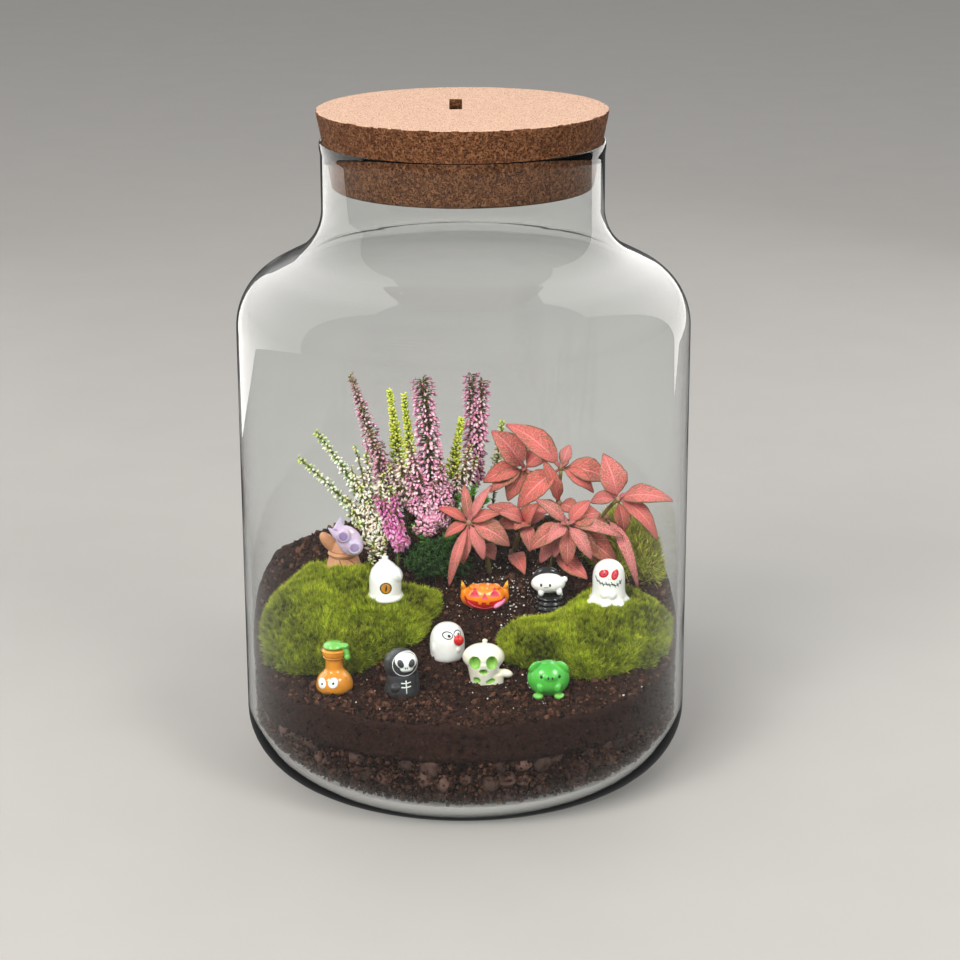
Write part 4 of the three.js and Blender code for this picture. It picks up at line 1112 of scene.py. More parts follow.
@dataclass
class MossCushion:
    """A mound of moss: a dark base that is covered with fine upright blades."""

    name: str
    node: str
    kind: MossKind
    blades: int
    seed: int
    sunk: float = 0.0  # how far it is pressed down before the ring stack
    reach: float = 96.3  # where the glass stops the blades

    def make(self) -> None:
        """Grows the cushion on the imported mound's own form."""
        base = bmesh.new()
        base.from_mesh(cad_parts[self.node].data)
        bmesh.ops.scale(base, vec=(1000, 1000, 1000), verts=base.verts)
        bmesh.ops.remove_doubles(base, verts=base.verts, dist=0.01)
        bmesh.ops.subdivide_edges(base, edges=base.edges[:], cuts=3, use_grid_fill=True)
        axes = {"use_axis_x": True, "use_axis_y": True, "use_axis_z": True}
        for _ in range(5):
            bmesh.ops.smooth_vert(base, verts=base.verts, factor=0.5, **axes)
        for corner in base.verts:
            corner.co.z += 0.9 * noise.noise(corner.co * 0.22) - 0.4
            x, y, _ = corner.co
            corner.co.z -= self.sunk * math.exp(-((x - 37) ** 2) / 260 - (y + 12) ** 2 / 150)
        bmesh.ops.triangulate(base, faces=base.faces[:])
        base.normal_update()
        draws = np.random.default_rng(self.seed)
        faces = [f for f in base.faces if f.normal.z > -0.2]
        corners = np.array([[v.co[:] for v in f.verts] for f in faces])
        normals = np.array([f.normal[:] for f in faces])
        areas = np.array([f.calc_area() for f in faces])
        moss = Gathering()
        moss.add(base, "#34420F", "#4C5F14")
        self.grow(moss, corners, normals, areas / areas.sum(), draws)
        slot = "moss" if self.kind is MossKind.VELVET else "moss_coarse"
        kind = self.kind.name.lower()
        finish = Tinted(f"living moss, {kind}", grain=3.0, depth=0.2, vary=0.22, roughness=0.75)
        moss.piece(self.name, slot, [finish], (self.node,))

    def grow(
        self,
        moss: Gathering,
        corners: np.ndarray,
        normals: np.ndarray,
        shares: np.ndarray,
        draws: Draws,
    ) -> None:
        """Grows the blades.

        Args:
            moss: The gathering that they join.
            corners: The corners of the faces that they grow on.
            normals: The faces' normals.
            shares: Each face's share of the area.
            draws: The seeded source.
        """
        roots, tips, length, width, lean = self.kind.value
        picked = draws.choice(len(shares), self.blades, p=shares)
        a, b = draws.random((2, self.blades, 1))
        a, b = np.where(a + b > 1, 1 - a, a), np.where(a + b > 1, 1 - b, b)
        face = corners[picked]
        spots = face[:, 0] + a * (face[:, 1] - face[:, 0]) + b * (face[:, 2] - face[:, 0])
        patch = np.array([noise.noise(Vector(p) * 0.075) for p in spots])[:, None]
        tuft_and_shade = np.array([noise.noise(Vector(p) * 0.8) for p in spots])[:, None]
        swirl = np.array([noise.noise_vector(Vector(p) * 0.16)[:] for p in spots])
        ways = normals[picked] * 0.7 + np.array([[0, 0, 0.5]]) + lean * swirl
        ways += draws.normal(0, 0.22 + 0.2 * lean, (self.blades, 3))
        tall = length * draws.uniform(0.6, 1.15, (self.blades, 1)) * (1 + 0.3 * patch + 0.7 * tuft_and_shade)
        ends = spots + unit(ways) * tall
        kept = np.hypot(ends[:, 0], ends[:, 1]) < self.reach
        kept &= np.hypot(spots[:, 0], spots[:, 1]) < self.reach
        spots, ways, tall, patch, tuft_and_shade = spots[kept], ways[kept], tall[kept], patch[kept], tuft_and_shade[kept]
        count = len(spots)
        size = np.concatenate([np.full((count, 2), width), tall], axis=1)
        places = towards(spots - ways * 0.2, ways, size, draws.random(count) * math.tau)
        # The tuft term makes a tuft's tall blades lighter and the short blades between tufts darker: painted
        # light and shade. The patch term is the moss's own patchy colour.
        shade = 1 + 0.8 * patch.clip(-0.6, 0.6) + 1.2 * tuft_and_shade.clip(-0.5, 0.6)
        low, high = hexes(roots, draws, count) * shade, hexes(tips, draws, count) * shade
        dry = draws.random(count) < (0.03 if self.kind is MossKind.VELVET else 0.12)
        high[dry] = np.array(linear("#B08A4A")[:3])
        moss.scatter(self.blade(), places, low, high)

    def blade(self) -> Pattern:
        """Returns one blade of unit size: a pointed flat strip, bent if the moss is stringy."""
        shape = bmesh.new()
        if self.kind is MossKind.VELVET:
            spots = [(-0.5, 0, 0), (0.5, 0, 0), (0, 0, 1)]
            shape.faces.new([shape.verts.new(spot) for spot in spots])
        else:
            rows = [(0.5, 0.0, 0.0), (0.42, 0.35, 0.35), (0.3, 1.4, 0.72)]
            pairs = [[shape.verts.new((side * w, y, z)) for side in (-1, 1)] for w, y, z in rows]
            for low, high in zip(pairs, pairs[1:]):
                shape.faces.new((low[0], low[1], high[1], high[0]))
            shape.faces.new((pairs[-1][0], pairs[-1][1], shape.verts.new((0, 3.2, 1.0))))
        return Pattern(shape)


# ---------------- heather

GOLDEN_ANGLE = 2.39996
ROW = 5  # buds that open together round a shoot
LEAFY = ("#4E6A2A", "#6E8A38", "#8A9A50", "#5E5A32")
LIMY = ("#8A9E2C", "#A2B236", "#72862A")


@dataclass(frozen=True)
class BudLook:
    """A shoot's buds: colours, length and width in millimetres, and how they hang."""

    roots: tuple[str, ...]
    tips: tuple[str, ...]
    unripe: str
    length: float
    width: float
    droop: float
    core: tuple[str, ...] = ("#5A3E30", "#7A5248", "#6C6A3A", "#8A5A5E")


class Bloom(Enum):
    """The heather's flowering shoots by colour."""

    GREEN = BudLook(
        ("#86A63E", "#9CB04C"), ("#FDFDF2", "#EEF2CC", "#FFFFFA"), "#B0C84C", 3.1, 1.9, 0.3, LEAFY
    )
    DUSKY = BudLook(("#A65A78", "#BA748A"), ("#EABECC", "#F6DCE2", "#D69EB0"), "#94866A", 2.4, 1.5, 0.4)
    LIME = BudLook(
        ("#A6BC2C", "#BACA3A"), ("#E8EA6C", "#D8E04A", "#F2F28C"), "#E0E65A", 2.6, 1.7, -0.75, LIMY
    )
    WHITE = BudLook(("#A8B650", "#BAC468"), ("#FAF9EC", "#ECF0C8"), "#C0D052", 2.8, 1.6, -0.4, LEAFY)
    CREAM = BudLook(
        ("#BCC07E", "#D6CE9E", "#D2A698"), ("#FFFFF8", "#FDFAEA", "#FAEAE6"), "#C8D262", 2.8, 1.5, 0.8, LEAFY
    )
    BLUSH = BudLook(
        ("#BC9484", "#CEA29A", "#B8B078"), ("#FCECEC", "#F4D2DC", "#FFFCF2"), "#BEC862", 2.7, 1.5, 0.5
    )
    MAGENTA = BudLook(("#B83C8C", "#C8509C"), ("#F09CCE", "#F9D0E4", "#E27CB8"), "#B0607E", 3.1, 1.6, 0.8)
    PINK = BudLook(("#C05C90", "#CE78A4"), ("#F6C6D6", "#FCE6EA", "#E89CBC"), "#A8788C", 2.8, 1.6, 0.6)


@dataclass(frozen=True)
class Shoot:
    """One flowering shoot along a bowed line from its foot to its tip."""

    foot: Point
    bow: Point
    tip: Point
    reach: float
    buds: int
    start: float
    stem: float
    needles: int = 60
    blunt: float = 0.35

    def at(self, shares: np.ndarray) -> tuple[np.ndarray, np.ndarray]:
        """Returns the points and the unit directions at shares of the line's length."""
        foot, bow, tip = (np.array(p, float)[None] for p in (self.foot, self.bow, self.tip))
        t = shares[:, None]
        points = foot * (1 - t) ** 2 + 2 * bow * t * (1 - t) + tip * t**2
        ways = 2 * (bow - foot) * (1 - t) + 2 * (tip - bow) * t
        return points, unit(ways)


def rooted(x: float, y: float) -> Point:
    """Returns a stem's foot, in its plain hole in the soil."""
    return (x, y, ground(x, y) - 5.0)


def twigs(fork: Point, tips: list[Point], reach: float, buds: int, start: float = 0.4) -> list[Shoot]:
    """Returns the short straight shoots of a bunch, which all leave one fork."""
    bows = [tuple((np.array(fork) + np.array(tip)) / 2) for tip in tips]
    return [Shoot(fork, bow, tip, reach, buds, start, 0.55, 24) for bow, tip in zip(bows, tips)]


@dataclass
class Heather:
    """One heather node: its woody stems, scale leaves and dense small buds."""

    name: str
    node: str
    slot: str
    bloom: Bloom
    shoots: list[Shoot]
    seed: int

    def __post_init__(self) -> None:
        """Makes what the shoots share: their gathering, the draws, a bud and a scale leaf."""
        self.draws = np.random.default_rng(self.seed)
        self.plant = Gathering()
        self.bud = Pattern(spun([(0, 0), (0.24, 0.1), (0.46, 0.4), (0.4, 0.7), (0.16, 0.92), (0, 1)], 6))
        self.scale = Pattern(spun([(0, 0), (0.5, 0.35), (0, 1)], 3))

    def make(self) -> None:
        """Grows the shoots."""
        for shoot in self.shoots:
            shares = np.linspace(0, 0.985, 14)
            radii = [shoot.stem * (1 - 0.6 * share) for share in shares]
            self.plant.add(tube(shoot.at(shares)[0], radii, 6), "#4E3526", "#7E7A3C", finish=1)
            self.set_buds(shoot)
            self.set_needles(shoot)
            self.fill_core(shoot)
        petals = Tinted("heather buds", grain=1.2, depth=0.06, vary=0.12, roughness=0.5, glow=0.2)
        green = Tinted("heather stems and scale leaves", grain=1.4, depth=0.12, vary=0.25, roughness=0.7)
        self.plant.piece(self.name, self.slot, [petals, green], (self.node,) if self.node else ())

    def set_buds(self, shoot: Shoot) -> None:
        """Sets buds all round a shoot, each on its own short stalk between small scale leaves."""
        draws, look, count = self.draws, self.bloom.value, shoot.buds
        rows = np.arange(count) // ROW
        rank = ((rows * ROW + ROW / 2 + draws.normal(0, 1.1, count)) / count).clip(0, 1)
        points, ahead = shoot.at(shoot.start + (0.995 - shoot.start) * rank)
        rank = rank[:, None]
        angle = np.arange(count) * GOLDEN_ANGLE + draws.normal(0, 0.25, count)
        side = unit(np.cross(np.array([[1.0, 0, 0]]), ahead))
        out = side * np.cos(angle)[:, None] + np.cross(ahead, side) * np.sin(angle)[:, None]
        taper = (1 - (1 - shoot.blunt) * rank**1.8) * np.minimum(1, 0.7 + 2.4 * rank)
        reach = shoot.reach * taper * draws.uniform(0.72, 1.06, (count, 1))
        rise = draws.normal(0.25, 0.25, (count, 1)) - look.droop * (1 - 0.6 * rank)
        ways = unit(out + ahead * rise + np.array([[0, 0, -0.35 * max(look.droop, 0)]]))
        length = look.length * draws.uniform(0.8, 1.12, (count, 1)) * (1 - 0.35 * rank**3)
        roots = points + out * np.maximum(reach - 0.8 * length, 0.2)
        width = look.width * length / look.length * draws.uniform(0.85, 1.1, (count, 1))
        places = towards(roots, ways, np.concatenate([width, width, length], axis=1), angle)
        low, high = hexes(look.roots, draws, count), hexes(look.tips, draws, count)
        unripe = np.array(linear(look.unripe)[:3])
        share = np.clip((rank - 0.72) / 0.28, 0, 1) ** 1.4 * 0.9
        low, high = (ripe * (1 - share) + unripe * share for ripe in (low, high))
        self.plant.scatter(self.bud, places, low, high)
        stalk = roots - points
        span = np.linalg.norm(stalk, axis=1, keepdims=True)
        size = np.concatenate([np.full((count, 2), 0.7), span + 0.6], axis=1)
        tints = hexes(["#56402C", "#6E6A34", "#4A5A26"], draws, count)
        self.plant.scatter(self.scale, towards(points, stalk, size, angle), tints, finish=1)
        size = np.concatenate([width * 0.75, width * 0.75, length * 0.4], axis=1)
        places = towards(roots - ways * 0.3, ways + ahead * 0.35, size, angle)
        tints = hexes(["#6C7A34", "#7F8B3E", "#5A5A2E"], draws, count)
        self.plant.scatter(self.scale, places, tints, finish=1)

    def set_needles(self, shoot: Shoot) -> None:
        """Sets needle leaves on a shoot below its buds."""
        draws, count = self.draws, shoot.needles
        points, ahead = shoot.at(draws.uniform(0.12, shoot.start + 0.1, count))
        ways = unit(draws.normal(size=(count, 3))) + ahead * 0.8
        size = np.array([[0.8, 0.8, 2.7]]) * draws.uniform(0.7, 1.2, (count, 1))
        low = hexes(["#2F4A1E", "#3E5C26", "#26391A"], draws, count)
        places = towards(points, ways, size, draws.random(count) * math.tau)
        self.plant.scatter(self.scale, places, low, low * 1.5, finish=1)

    def fill_core(self, shoot: Shoot) -> None:
        """Sets scale leaves between the buds, so that the shoot isn't seen through."""
        draws, count = self.draws, shoot.buds
        points, ahead = shoot.at(draws.uniform(shoot.start, 0.97, count))
        out = draws.normal(size=(count, 3))
        size = np.array([[1.0, 1.0, 0.36 * shoot.reach + 0.7]]) * draws.uniform(0.7, 1.1, (count, 1))
        low = hexes(self.bloom.value.core, draws, count)
        places = towards(points, unit(out) + ahead * 0.5, size, out[:, 0] * 9)
        self.plant.scatter(self.scale, places, low, low * 1.4, finish=1)


@dataclass
class HeatherFoliage:
    """The heather's bushy dark green foot: short shoots that are set all round with needle leaves."""

    middle: Point = (-12.0, 13.0, 89.0)
    reach: Point = (16.4, 9.6, 10.6)
    shoots: int = 90
    needles: int = 46
    foot: Point = rooted(-12, 14)
    sprigs: tuple[Point, ...] = (
        (-3, 22, 116),
        (5, 24, 120),
        (11, 26, 114),
        (1, 18, 108),
        (-24, 16, 104),
        (9, 20, 104),
    )
    sprig_needles: int = 170

    def make(self) -> None:
        """Grows the stem, the shoots and their needles."""
        draws = np.random.default_rng(57)
        bush = Gathering()
        middle = Vector(self.middle)
        needle = Pattern(spun([(0, 0), (0.5, 0.35), (0, 1)], 3))
        bush.add(tube([self.foot, middle], [2.0, 1.6], 8), "#4A3324")
        for i in range(self.shoots):
            height = 1 - 1.7 * (i + 0.5) / self.shoots
            flat = math.sqrt(max(0.0, 1 - height * height))
            way = Vector((flat * math.cos(i * 2.4), flat * math.sin(i * 2.4), height))
            way = Vector(np.array(way) * np.array(self.reach)) * draws.uniform(0.78, 1.0)
            bush.add(tube([middle + way * 0.2, middle + way * 0.97], [0.5, 0.25], 4), "#3A4420")
            share = draws.uniform(0.35, 1.0, (self.needles, 1))
            points = np.array(middle)[None] + np.array(way)[None] * share
            aside = draws.normal(size=(self.needles, 3))
            ways = unit(aside) + np.array(way.normalized())[None] * 0.9
            size = np.array([[0.95, 0.95, 2.6]]) * draws.uniform(0.7, 1.2, (self.needles, 1))
            # Needles nearer the bush's middle are darker: painted shade inside the bush.
            low = hexes(["#16300F", "#1F3D14", "#2B4A1A"], draws, self.needles) * (0.45 + 0.55 * share)
            places = towards(points, ways, size, draws.random(self.needles) * math.tau)
            bush.scatter(needle, places, low, low * 2.1)
        for tip in self.sprigs:
            foot, top = np.array(self.middle), np.array(tip)
            bush.add(tube([foot, foot * 0.5 + top * 0.5, top], [0.6, 0.5, 0.25], 5), "#4A5A24")
            count = self.sprig_needles
            share = draws.uniform(0.25, 1.0, (count, 1))
            ways = unit(draws.normal(size=(count, 3))) + np.array([[0, 0, 1.0]])
            size = np.array([[0.9, 0.9, 3.0]]) * draws.uniform(0.7, 1.2, (count, 1))
            low = hexes(["#2C5218", "#3C6A1E", "#4E7C28"], draws, count)
            points = foot + (top - foot) * share
            bush.scatter(needle, towards(points, ways, size, share[:, 0] * 90), low, low * 1.9)
        finish = Tinted("heather needle leaves", grain=1.4, depth=0.1, vary=0.25, roughness=0.6)
        bush.piece("heather_foot", "heather_foliage", [finish], ("heather_foliage",))


def heathers() -> list[Heather]:
    """Returns every flowering part of the heather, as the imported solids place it."""
    foot = rooted
    spire = [Shoot(foot(-15, 27), (-14, 25, 125), (-19, 24, 172), 6.8, 400, 0.4, 1.0, blunt=0.85)]
    spire_tips = [(-26, 17, 129), (-10, 18, 133), (-5, 16, 116), (-23, 14, 102), (-20, 13, 119)]
    spire_tips += [(-12, 12, 106), (-24, 20, 138), (-6, 18, 124), (-7, 14, 106), (-17, 12, 101)]
    spire_tips += [(-27, 15, 116), (-14, 15, 126)]
    spire += twigs((-15, 20, 108), spire_tips, 5.0, 84, 0.2)
    pair = [Shoot(foot(2, 47), (5, 46, 118), (3.4, 46, 168), 5.2, 270, 0.42, 0.9, blunt=0.85)]
    pair += [Shoot(foot(2, 47), (5, 46, 118), (8.8, 45, 166), 5.2, 240, 0.46, 0.8, blunt=0.8)]
    cream_tips = [(-52, 19, 132), (-45, 21, 139), (-37, 20, 129), (-55, 18, 118), (-49, 14, 106)]
    cream_tips += [(-42, 12, 95), (-48, 17, 124), (-38, 14, 112), (-33, 17, 124), (-48, 12, 98)]
    cream_tips += [(-50, 20, 142), (-36, 12, 98), (-43, 10, 88), (-37, 9, 88), (-52, 16, 112)]
    cream_tips += [(-44, 16, 117)]
    cream = [Shoot(foot(-38, 25), (-40, 23, 90), (-41, 22, 97), 1.5, 4, 0.9, 1.1)]
    cream += twigs((-41, 20, 101), cream_tips, 4.2, 40, 0.2)
    magenta_tips = [(-41, 12, 121), (-37, 11, 119), (-34, 10, 113), (-29, 9, 107), (-26, 8, 101)]
    magenta_tips += [(-30, 8, 98), (-36, 10, 108), (-32, 11, 121)]
    magenta = [Shoot(foot(-31, 19), (-31, 16, 90), (-30, 14, 96), 1.5, 4, 0.9, 1.1)]
    magenta += twigs((-30, 14, 96), magenta_tips, 4.2, 62, 0.2)
    green, lime, white = Bloom.GREEN, Bloom.LIME, Bloom.WHITE
    outer = [Shoot(foot(-42, 35), (-46, 35, 106), (-78, 35, 132), 3.2, 100, 0.35, 0.7)]
    inner = [Shoot(foot(-39, 45), (-46, 44, 112), (-70, 44, 142), 3.4, 115, 0.35, 0.75)]
    dusky = [Shoot(foot(-31, 41), (-38, 43, 126), (-53, 44, 169), 6.6, 210, 0.36, 0.8, blunt=0.15)]
    dusky += twigs((-36, 38, 112), [(-40, 34, 138), (-44, 38, 144), (-34, 34, 130)], 4.6, 62, 0.3)
    tall = [Shoot(foot(-26, 53), (-30, 51, 120), (-35, 50, 160), 5.0, 230, 0.3, 0.8, blunt=0.15)]
    blush_tips = [(-24, 18, 145), (-35, 24, 131), (-30, 20, 138), (-39, 26, 122)]
    blush = twigs((-24, 26, 104), blush_tips, 4.2, 62, 0.3)
    blush_tips = [(-13, 29, 139), (3, 37, 137), (6, 40, 130), (-3, 30, 126)]
    blush += twigs((-6, 32, 104), blush_tips, 4.2, 62, 0.3)
    slim = [Shoot(foot(-21, 42), (-24, 39, 125), (-28, 38, 161), 3.9, 180, 0.35, 0.7, blunt=0.15)]
    right = [Shoot(foot(-7, 39), (-8, 37, 115), (-1, 36, 150), 5.0, 210, 0.36, 0.8, blunt=0.15)]
    tips = [Shoot(foot(12, 54), (14, 52, 115), (18, 50, 145), 3.4, 80, 0.5, 0.7)]
    return [
        Heather("green_shoot_outer", "heather_green_outer", "heather_green", green, outer, 61),
        Heather("green_shoot_inner", "heather_green_inner", "heather_green", green, inner, 62),
        Heather("dusky_spike", "heather_dusky", "heather_dusky", Bloom.DUSKY, dusky, 63),
        Heather("lime_spike_tall", "heather_lime_tall", "heather_lime", lime, tall, 64),
        Heather("lime_spike_slim", "heather_lime_slim", "heather_lime", lime, slim, 65),
        Heather("lime_spike_right", "heather_lime_right", "heather_lime", lime, right, 66),
        Heather("blush_twigs", "", "heather_white", Bloom.BLUSH, blush, 72),
        Heather("white_tipped_shoot", "heather_white_tip", "heather_white", white, tips, 67),
        Heather("cream_bunch", "heather_cream", "heather_white", Bloom.CREAM, cream, 68),
        Heather("magenta_bunch", "heather_magenta", "heather_magenta", Bloom.MAGENTA, magenta, 69),
        Heather("pink_spire", "heather_pink_spire", "heather_pink", Bloom.PINK, spire, 70),
        Heather("pink_pair", "heather_pink_pair", "heather_pink", Bloom.PINK, pair, 71),
    ]


# ---------------- nerve plant


@dataclass(frozen=True)
class Leaf:
    """One leaf: where its tip is, its width, how it arches, and the knot it leaves the stem at."""

    to: Point
    width: float
    stem: Point | None = None
    arch: float = 0.2

    def shape(self, head: Point, draws: Draws) -> Shape:
        """Makes the blade: pointed, folded along its midrib, arched and softly waved.

        Args:
            head: The top of the stem.
            draws: The seeded source.

        Returns:
            The leaf with its own map, a share along it and a share across it.
        """
        carrier = Vector(self.stem or head)
        end = Vector(self.to)
        root = carrier + (end - carrier).normalized() * 0.9
        along = end - root
        length = along.length
        side = along.cross(Vector((0, -0.72, 0.69))).normalized()
        up = side.cross(along).normalized()
        blade = bmesh.new()
        blade.loops.layers.uv.new("leaf")
        bmesh.ops.create_grid(blade, x_segments=26, y_segments=12, size=0.5, calc_uvs=True)
        phase, ruffle = draws.random() * math.tau, draws.uniform(0.6, 1.2)
        for corner in blade.verts:
            share, across = corner.co.x + 0.5, 2 * corner.co.y
            spread = min(max((share - 0.1) / 0.89, 0.0), 1.0)
            half = 0.45 + (self.width / 2 - 0.45) * math.sin(math.pi * spread**0.85) ** 0.84
            half *= 1 + 0.025 * math.sin(34 * share + phase)
            lift = self.arch * length * (2.4 * share * (1 - share) - share**3)
            edge = abs(across)
            wave = 0.045 * self.width * ruffle * math.sin(11 * share + phase * across) * edge**2
            rib = 0.16 * math.cos(56 * (share - 0.28 * edge)) * edge * (1 - edge)
            fold = edge * half * 0.3 - 0.18 * math.exp(-((across * 9) ** 2)) * math.sin(math.pi * share)
            corner.co = root + along * share + side * across * half + up * (lift + fold + wave + rib)
        bmesh.ops.solidify(blade, geom=blade.faces[:], thickness=0.4)
        return blade


@dataclass
class NerveStem:
    """One leafy stem of the nerve plant, in the part of it that it is named for."""

    part: str
    foot: Point
    bend: Point
    head: Point
    leaves: list[Leaf]
    seed: int

    def make(self) -> None:
        """Grows the stalk, its knots and its leaves."""
        draws = np.random.default_rng(self.seed)
        plant = Gathering()
        a, b, c = (Vector(p) for p in (self.foot, self.bend, self.head))
        bow = b * 2 - (a + c) / 2
        line = [a * (1 - t) ** 2 + bow * 2 * t * (1 - t) + c * t**2 for t in (i / 12 for i in range(13))]
        plant.add(tube(line, [1.15 - 0.3 * i / 12 for i in range(13)], 10), "#5A4A2A", "#8A7A3E", finish=1)
        for knot in {self.head, *(leaf.stem for leaf in self.leaves if leaf.stem)}:
            plant.add(ball(knot, (1.5, 1.5, 1.7), detail=12), "#7A7A3A", "#A8746A", finish=1)
        for leaf in self.leaves:
            blade = Pattern(leaf.shape(self.head, draws))
            youth = draws.random() if leaf.width < 8 else draws.random() * 0.5
            look = np.array([[youth, draws.uniform(0.45, 1.0), 0]])
            plant.scatter(blade, np.eye(4)[None], look)
        for _ in range(3):
            way = draws.normal(0, 0.6, 3) + np.array([0, -0.2, 1.0])
            tip = np.array(self.head) + way / np.linalg.norm(way) * draws.uniform(4, 6)
            sprout = Leaf(tuple(tip), draws.uniform(1.8, 2.6), arch=0.1).shape(self.head, draws)
            look = np.array([[0.9, 0.35, 0]])
            plant.scatter(Pattern(sprout), np.eye(4)[None], look)
        stalk = Tinted("nerve plant stalk", grain=1.5, depth=0.12, vary=0.25, roughness=0.6)
        finishes = [NetVeinedLeaf("net-veined leaf"), stalk]
        plant.piece(f"nerve_plant_{self.part}", "nerve_leaf", finishes, (f"nerve_stem_{self.part}",))


def nerve_stems() -> list[NerveStem]:
    """Returns the nerve plant's stems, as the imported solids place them.

    A leaf is given by its tip and width, and where it needs them by its knot on the stem and its arch.
    """
    back = [
        ((15, 38, 143), 14), ((9, 36, 121), 10), ((12, 33, 117), 8), ((39, 43, 133), 9), ((20, 33, 112), 9),
        ((34, 34, 116), 8),
    ]
    tall = [
        ((22, 32, 149), 12), ((49, 36, 137), 6), ((68, 31, 123), 12), ((59, 36, 117), 8), ((24, 24, 112), 12),
        ((38, 24, 132), 6.5, (44, 32, 110)), ((60, 25, 119), 7.5), ((53, 25, 108), 8, (44, 32, 110)),
        ((33, 23, 108), 7, (44, 32, 110)),
    ]
    right = [
        ((65, 22, 136), 13), ((93, 5, 122), 9.5), ((89, 8, 104), 8.5, None, 0.34), ((74, 17, 101), 8),
        ((58, 25, 114), 7), ((80, 3, 83), 6, (66, 25, 105), 0.3), ((57, 20, 99), 8, (66, 25, 105)),
    ]
    middle = [
        ((62, 14, 112), 12), ((72, 6, 104), 6.5), ((58, 2, 94), 7), ((34, 14, 118), 6.5), ((30, 6, 98), 10),
        ((47, 5, 89), 8), ((70, 13, 88), 13, None, 0.05), ((34, 13, 88), 7, (45, 16, 100)),
        ((56, 8, 82), 9, (41, 21, 89), 0.08), ((62, 7, 90), 8), ((38, 3, 102), 7.5), ((57, 14, 117), 7),
        ((41, 8, 93), 6, (45, 16, 100)),
    ]
    left = [
        ((21, 8, 99), 11), ((0, 14, 124), 5), ((11, 13, 124), 4.5), ((-11, 12, 115), 5), ((-2, 5, 89), 7),
        ((-8, 0, 82), 5, None, 0.22), ((14, 15, 89), 7, (8, 18, 96)), ((9, 4, 93), 6.5), ((15, 10, 113), 6),
        ((-9, 8, 103), 5.5),
    ]
    low = [
        ((12, 22, 113), 8), ((15, 20, 104), 8.5), ((36, 21, 108), 7), ((27, 14, 84), 8, (22, 29, 87)),
        ((24, 14, 105), 8.5), ((32, 16, 114), 8), ((17, 15, 112), 7.5), ((30, 12, 95), 7),
    ]
    stems = [
        ("back", rooted(30, 40), (30, 40, 100), (28, 40, 124), back, 31),
        ("tall", rooted(42, 32), (43, 32, 102), (45, 32, 127), tall, 32),
        ("right", rooted(60, 30), (61, 28, 98), (71, 21, 115), right, 33),
        ("middle", rooted(40, 24), (42, 20, 92), (47, 12, 106), middle, 34),
        ("left", rooted(12, 22), (8, 19, 96), (2, 12, 107), left, 35),
        ("low", rooted(21, 30), (24, 28, 92), (28, 24, 103), low, 36),
    ]
    return [NerveStem(*place, [Leaf(*leaf) for leaf in leaves], seed) for *place, leaves, seed in stems]


# ---------------- miniatures


def cone(at: Point, size: Point, turn: Point = (0, 0, 0), sides: int = 18, tip: float = 0.0) -> Shape:
    """Makes an upright cone, or a prism or post where its tip is as wide as its foot.

    Args:
        at: Its centre.
        size: Its half widths along X and Y, and its height.
        turn: Turns about X, Y and Z.
        sides: Faces round it.
        tip: The tip's share of the foot's width.

    Returns:
        The cone.
    """
    shape = bmesh.new()
    bmesh.ops.create_cone(shape, cap_ends=True, segments=sides, radius1=1.0, radius2=tip, depth=1.0)
    return placed(shape, at, size, turn)


def loose(shapes: list[Shape], name: str) -> bpy.types.Object:
    """Puts shapes into one working object, in millimetres, and frees them."""
    mesh = bpy.data.meshes.new(name)
    whole = bmesh.new()
    for shape in shapes:
        shape.to_mesh(mesh)
        shape.free()
        whole.from_mesh(mesh)
    whole.to_mesh(mesh)
    whole.free()
    return stood(name, mesh)


def moulded(
    parts: list[Shape], cuts: list[Shape], grain: float = 0.3, soften: int = 5
) -> Shape:
    """Fuses shapes into one soft-edged moulding.

    Args:
        parts: Closed shapes that overlap.
        cuts: Closed shapes that are carved out.
        grain: The size of the moulding's faces.
        soften: How often its edges are smoothed.

    Returns:
        The moulding.
    """
    work = loose(parts, "work")
    first = work.modifiers.new("fuse", "REMESH")
    first.mode, first.voxel_size = "VOXEL", grain
    carver = loose(cuts, "carver") if cuts else None
    if carver:
        carve = work.modifiers.new("carve", "BOOLEAN")
        carve.operation, carve.object = "DIFFERENCE", carver
        again = work.modifiers.new("fuse_again", "REMESH")
        again.mode, again.voxel_size = "VOXEL", grain
    smooth = work.modifiers.new("soften", "SMOOTH")
    smooth.factor, smooth.iterations = 0.5, soften
    shape = bmesh.new()
    shape.from_object(work, bpy.context.evaluated_depsgraph_get())
    for used in (work, carver):
        if used:
            bpy.data.objects.remove(used)
    shape.normal_update()
    return shape


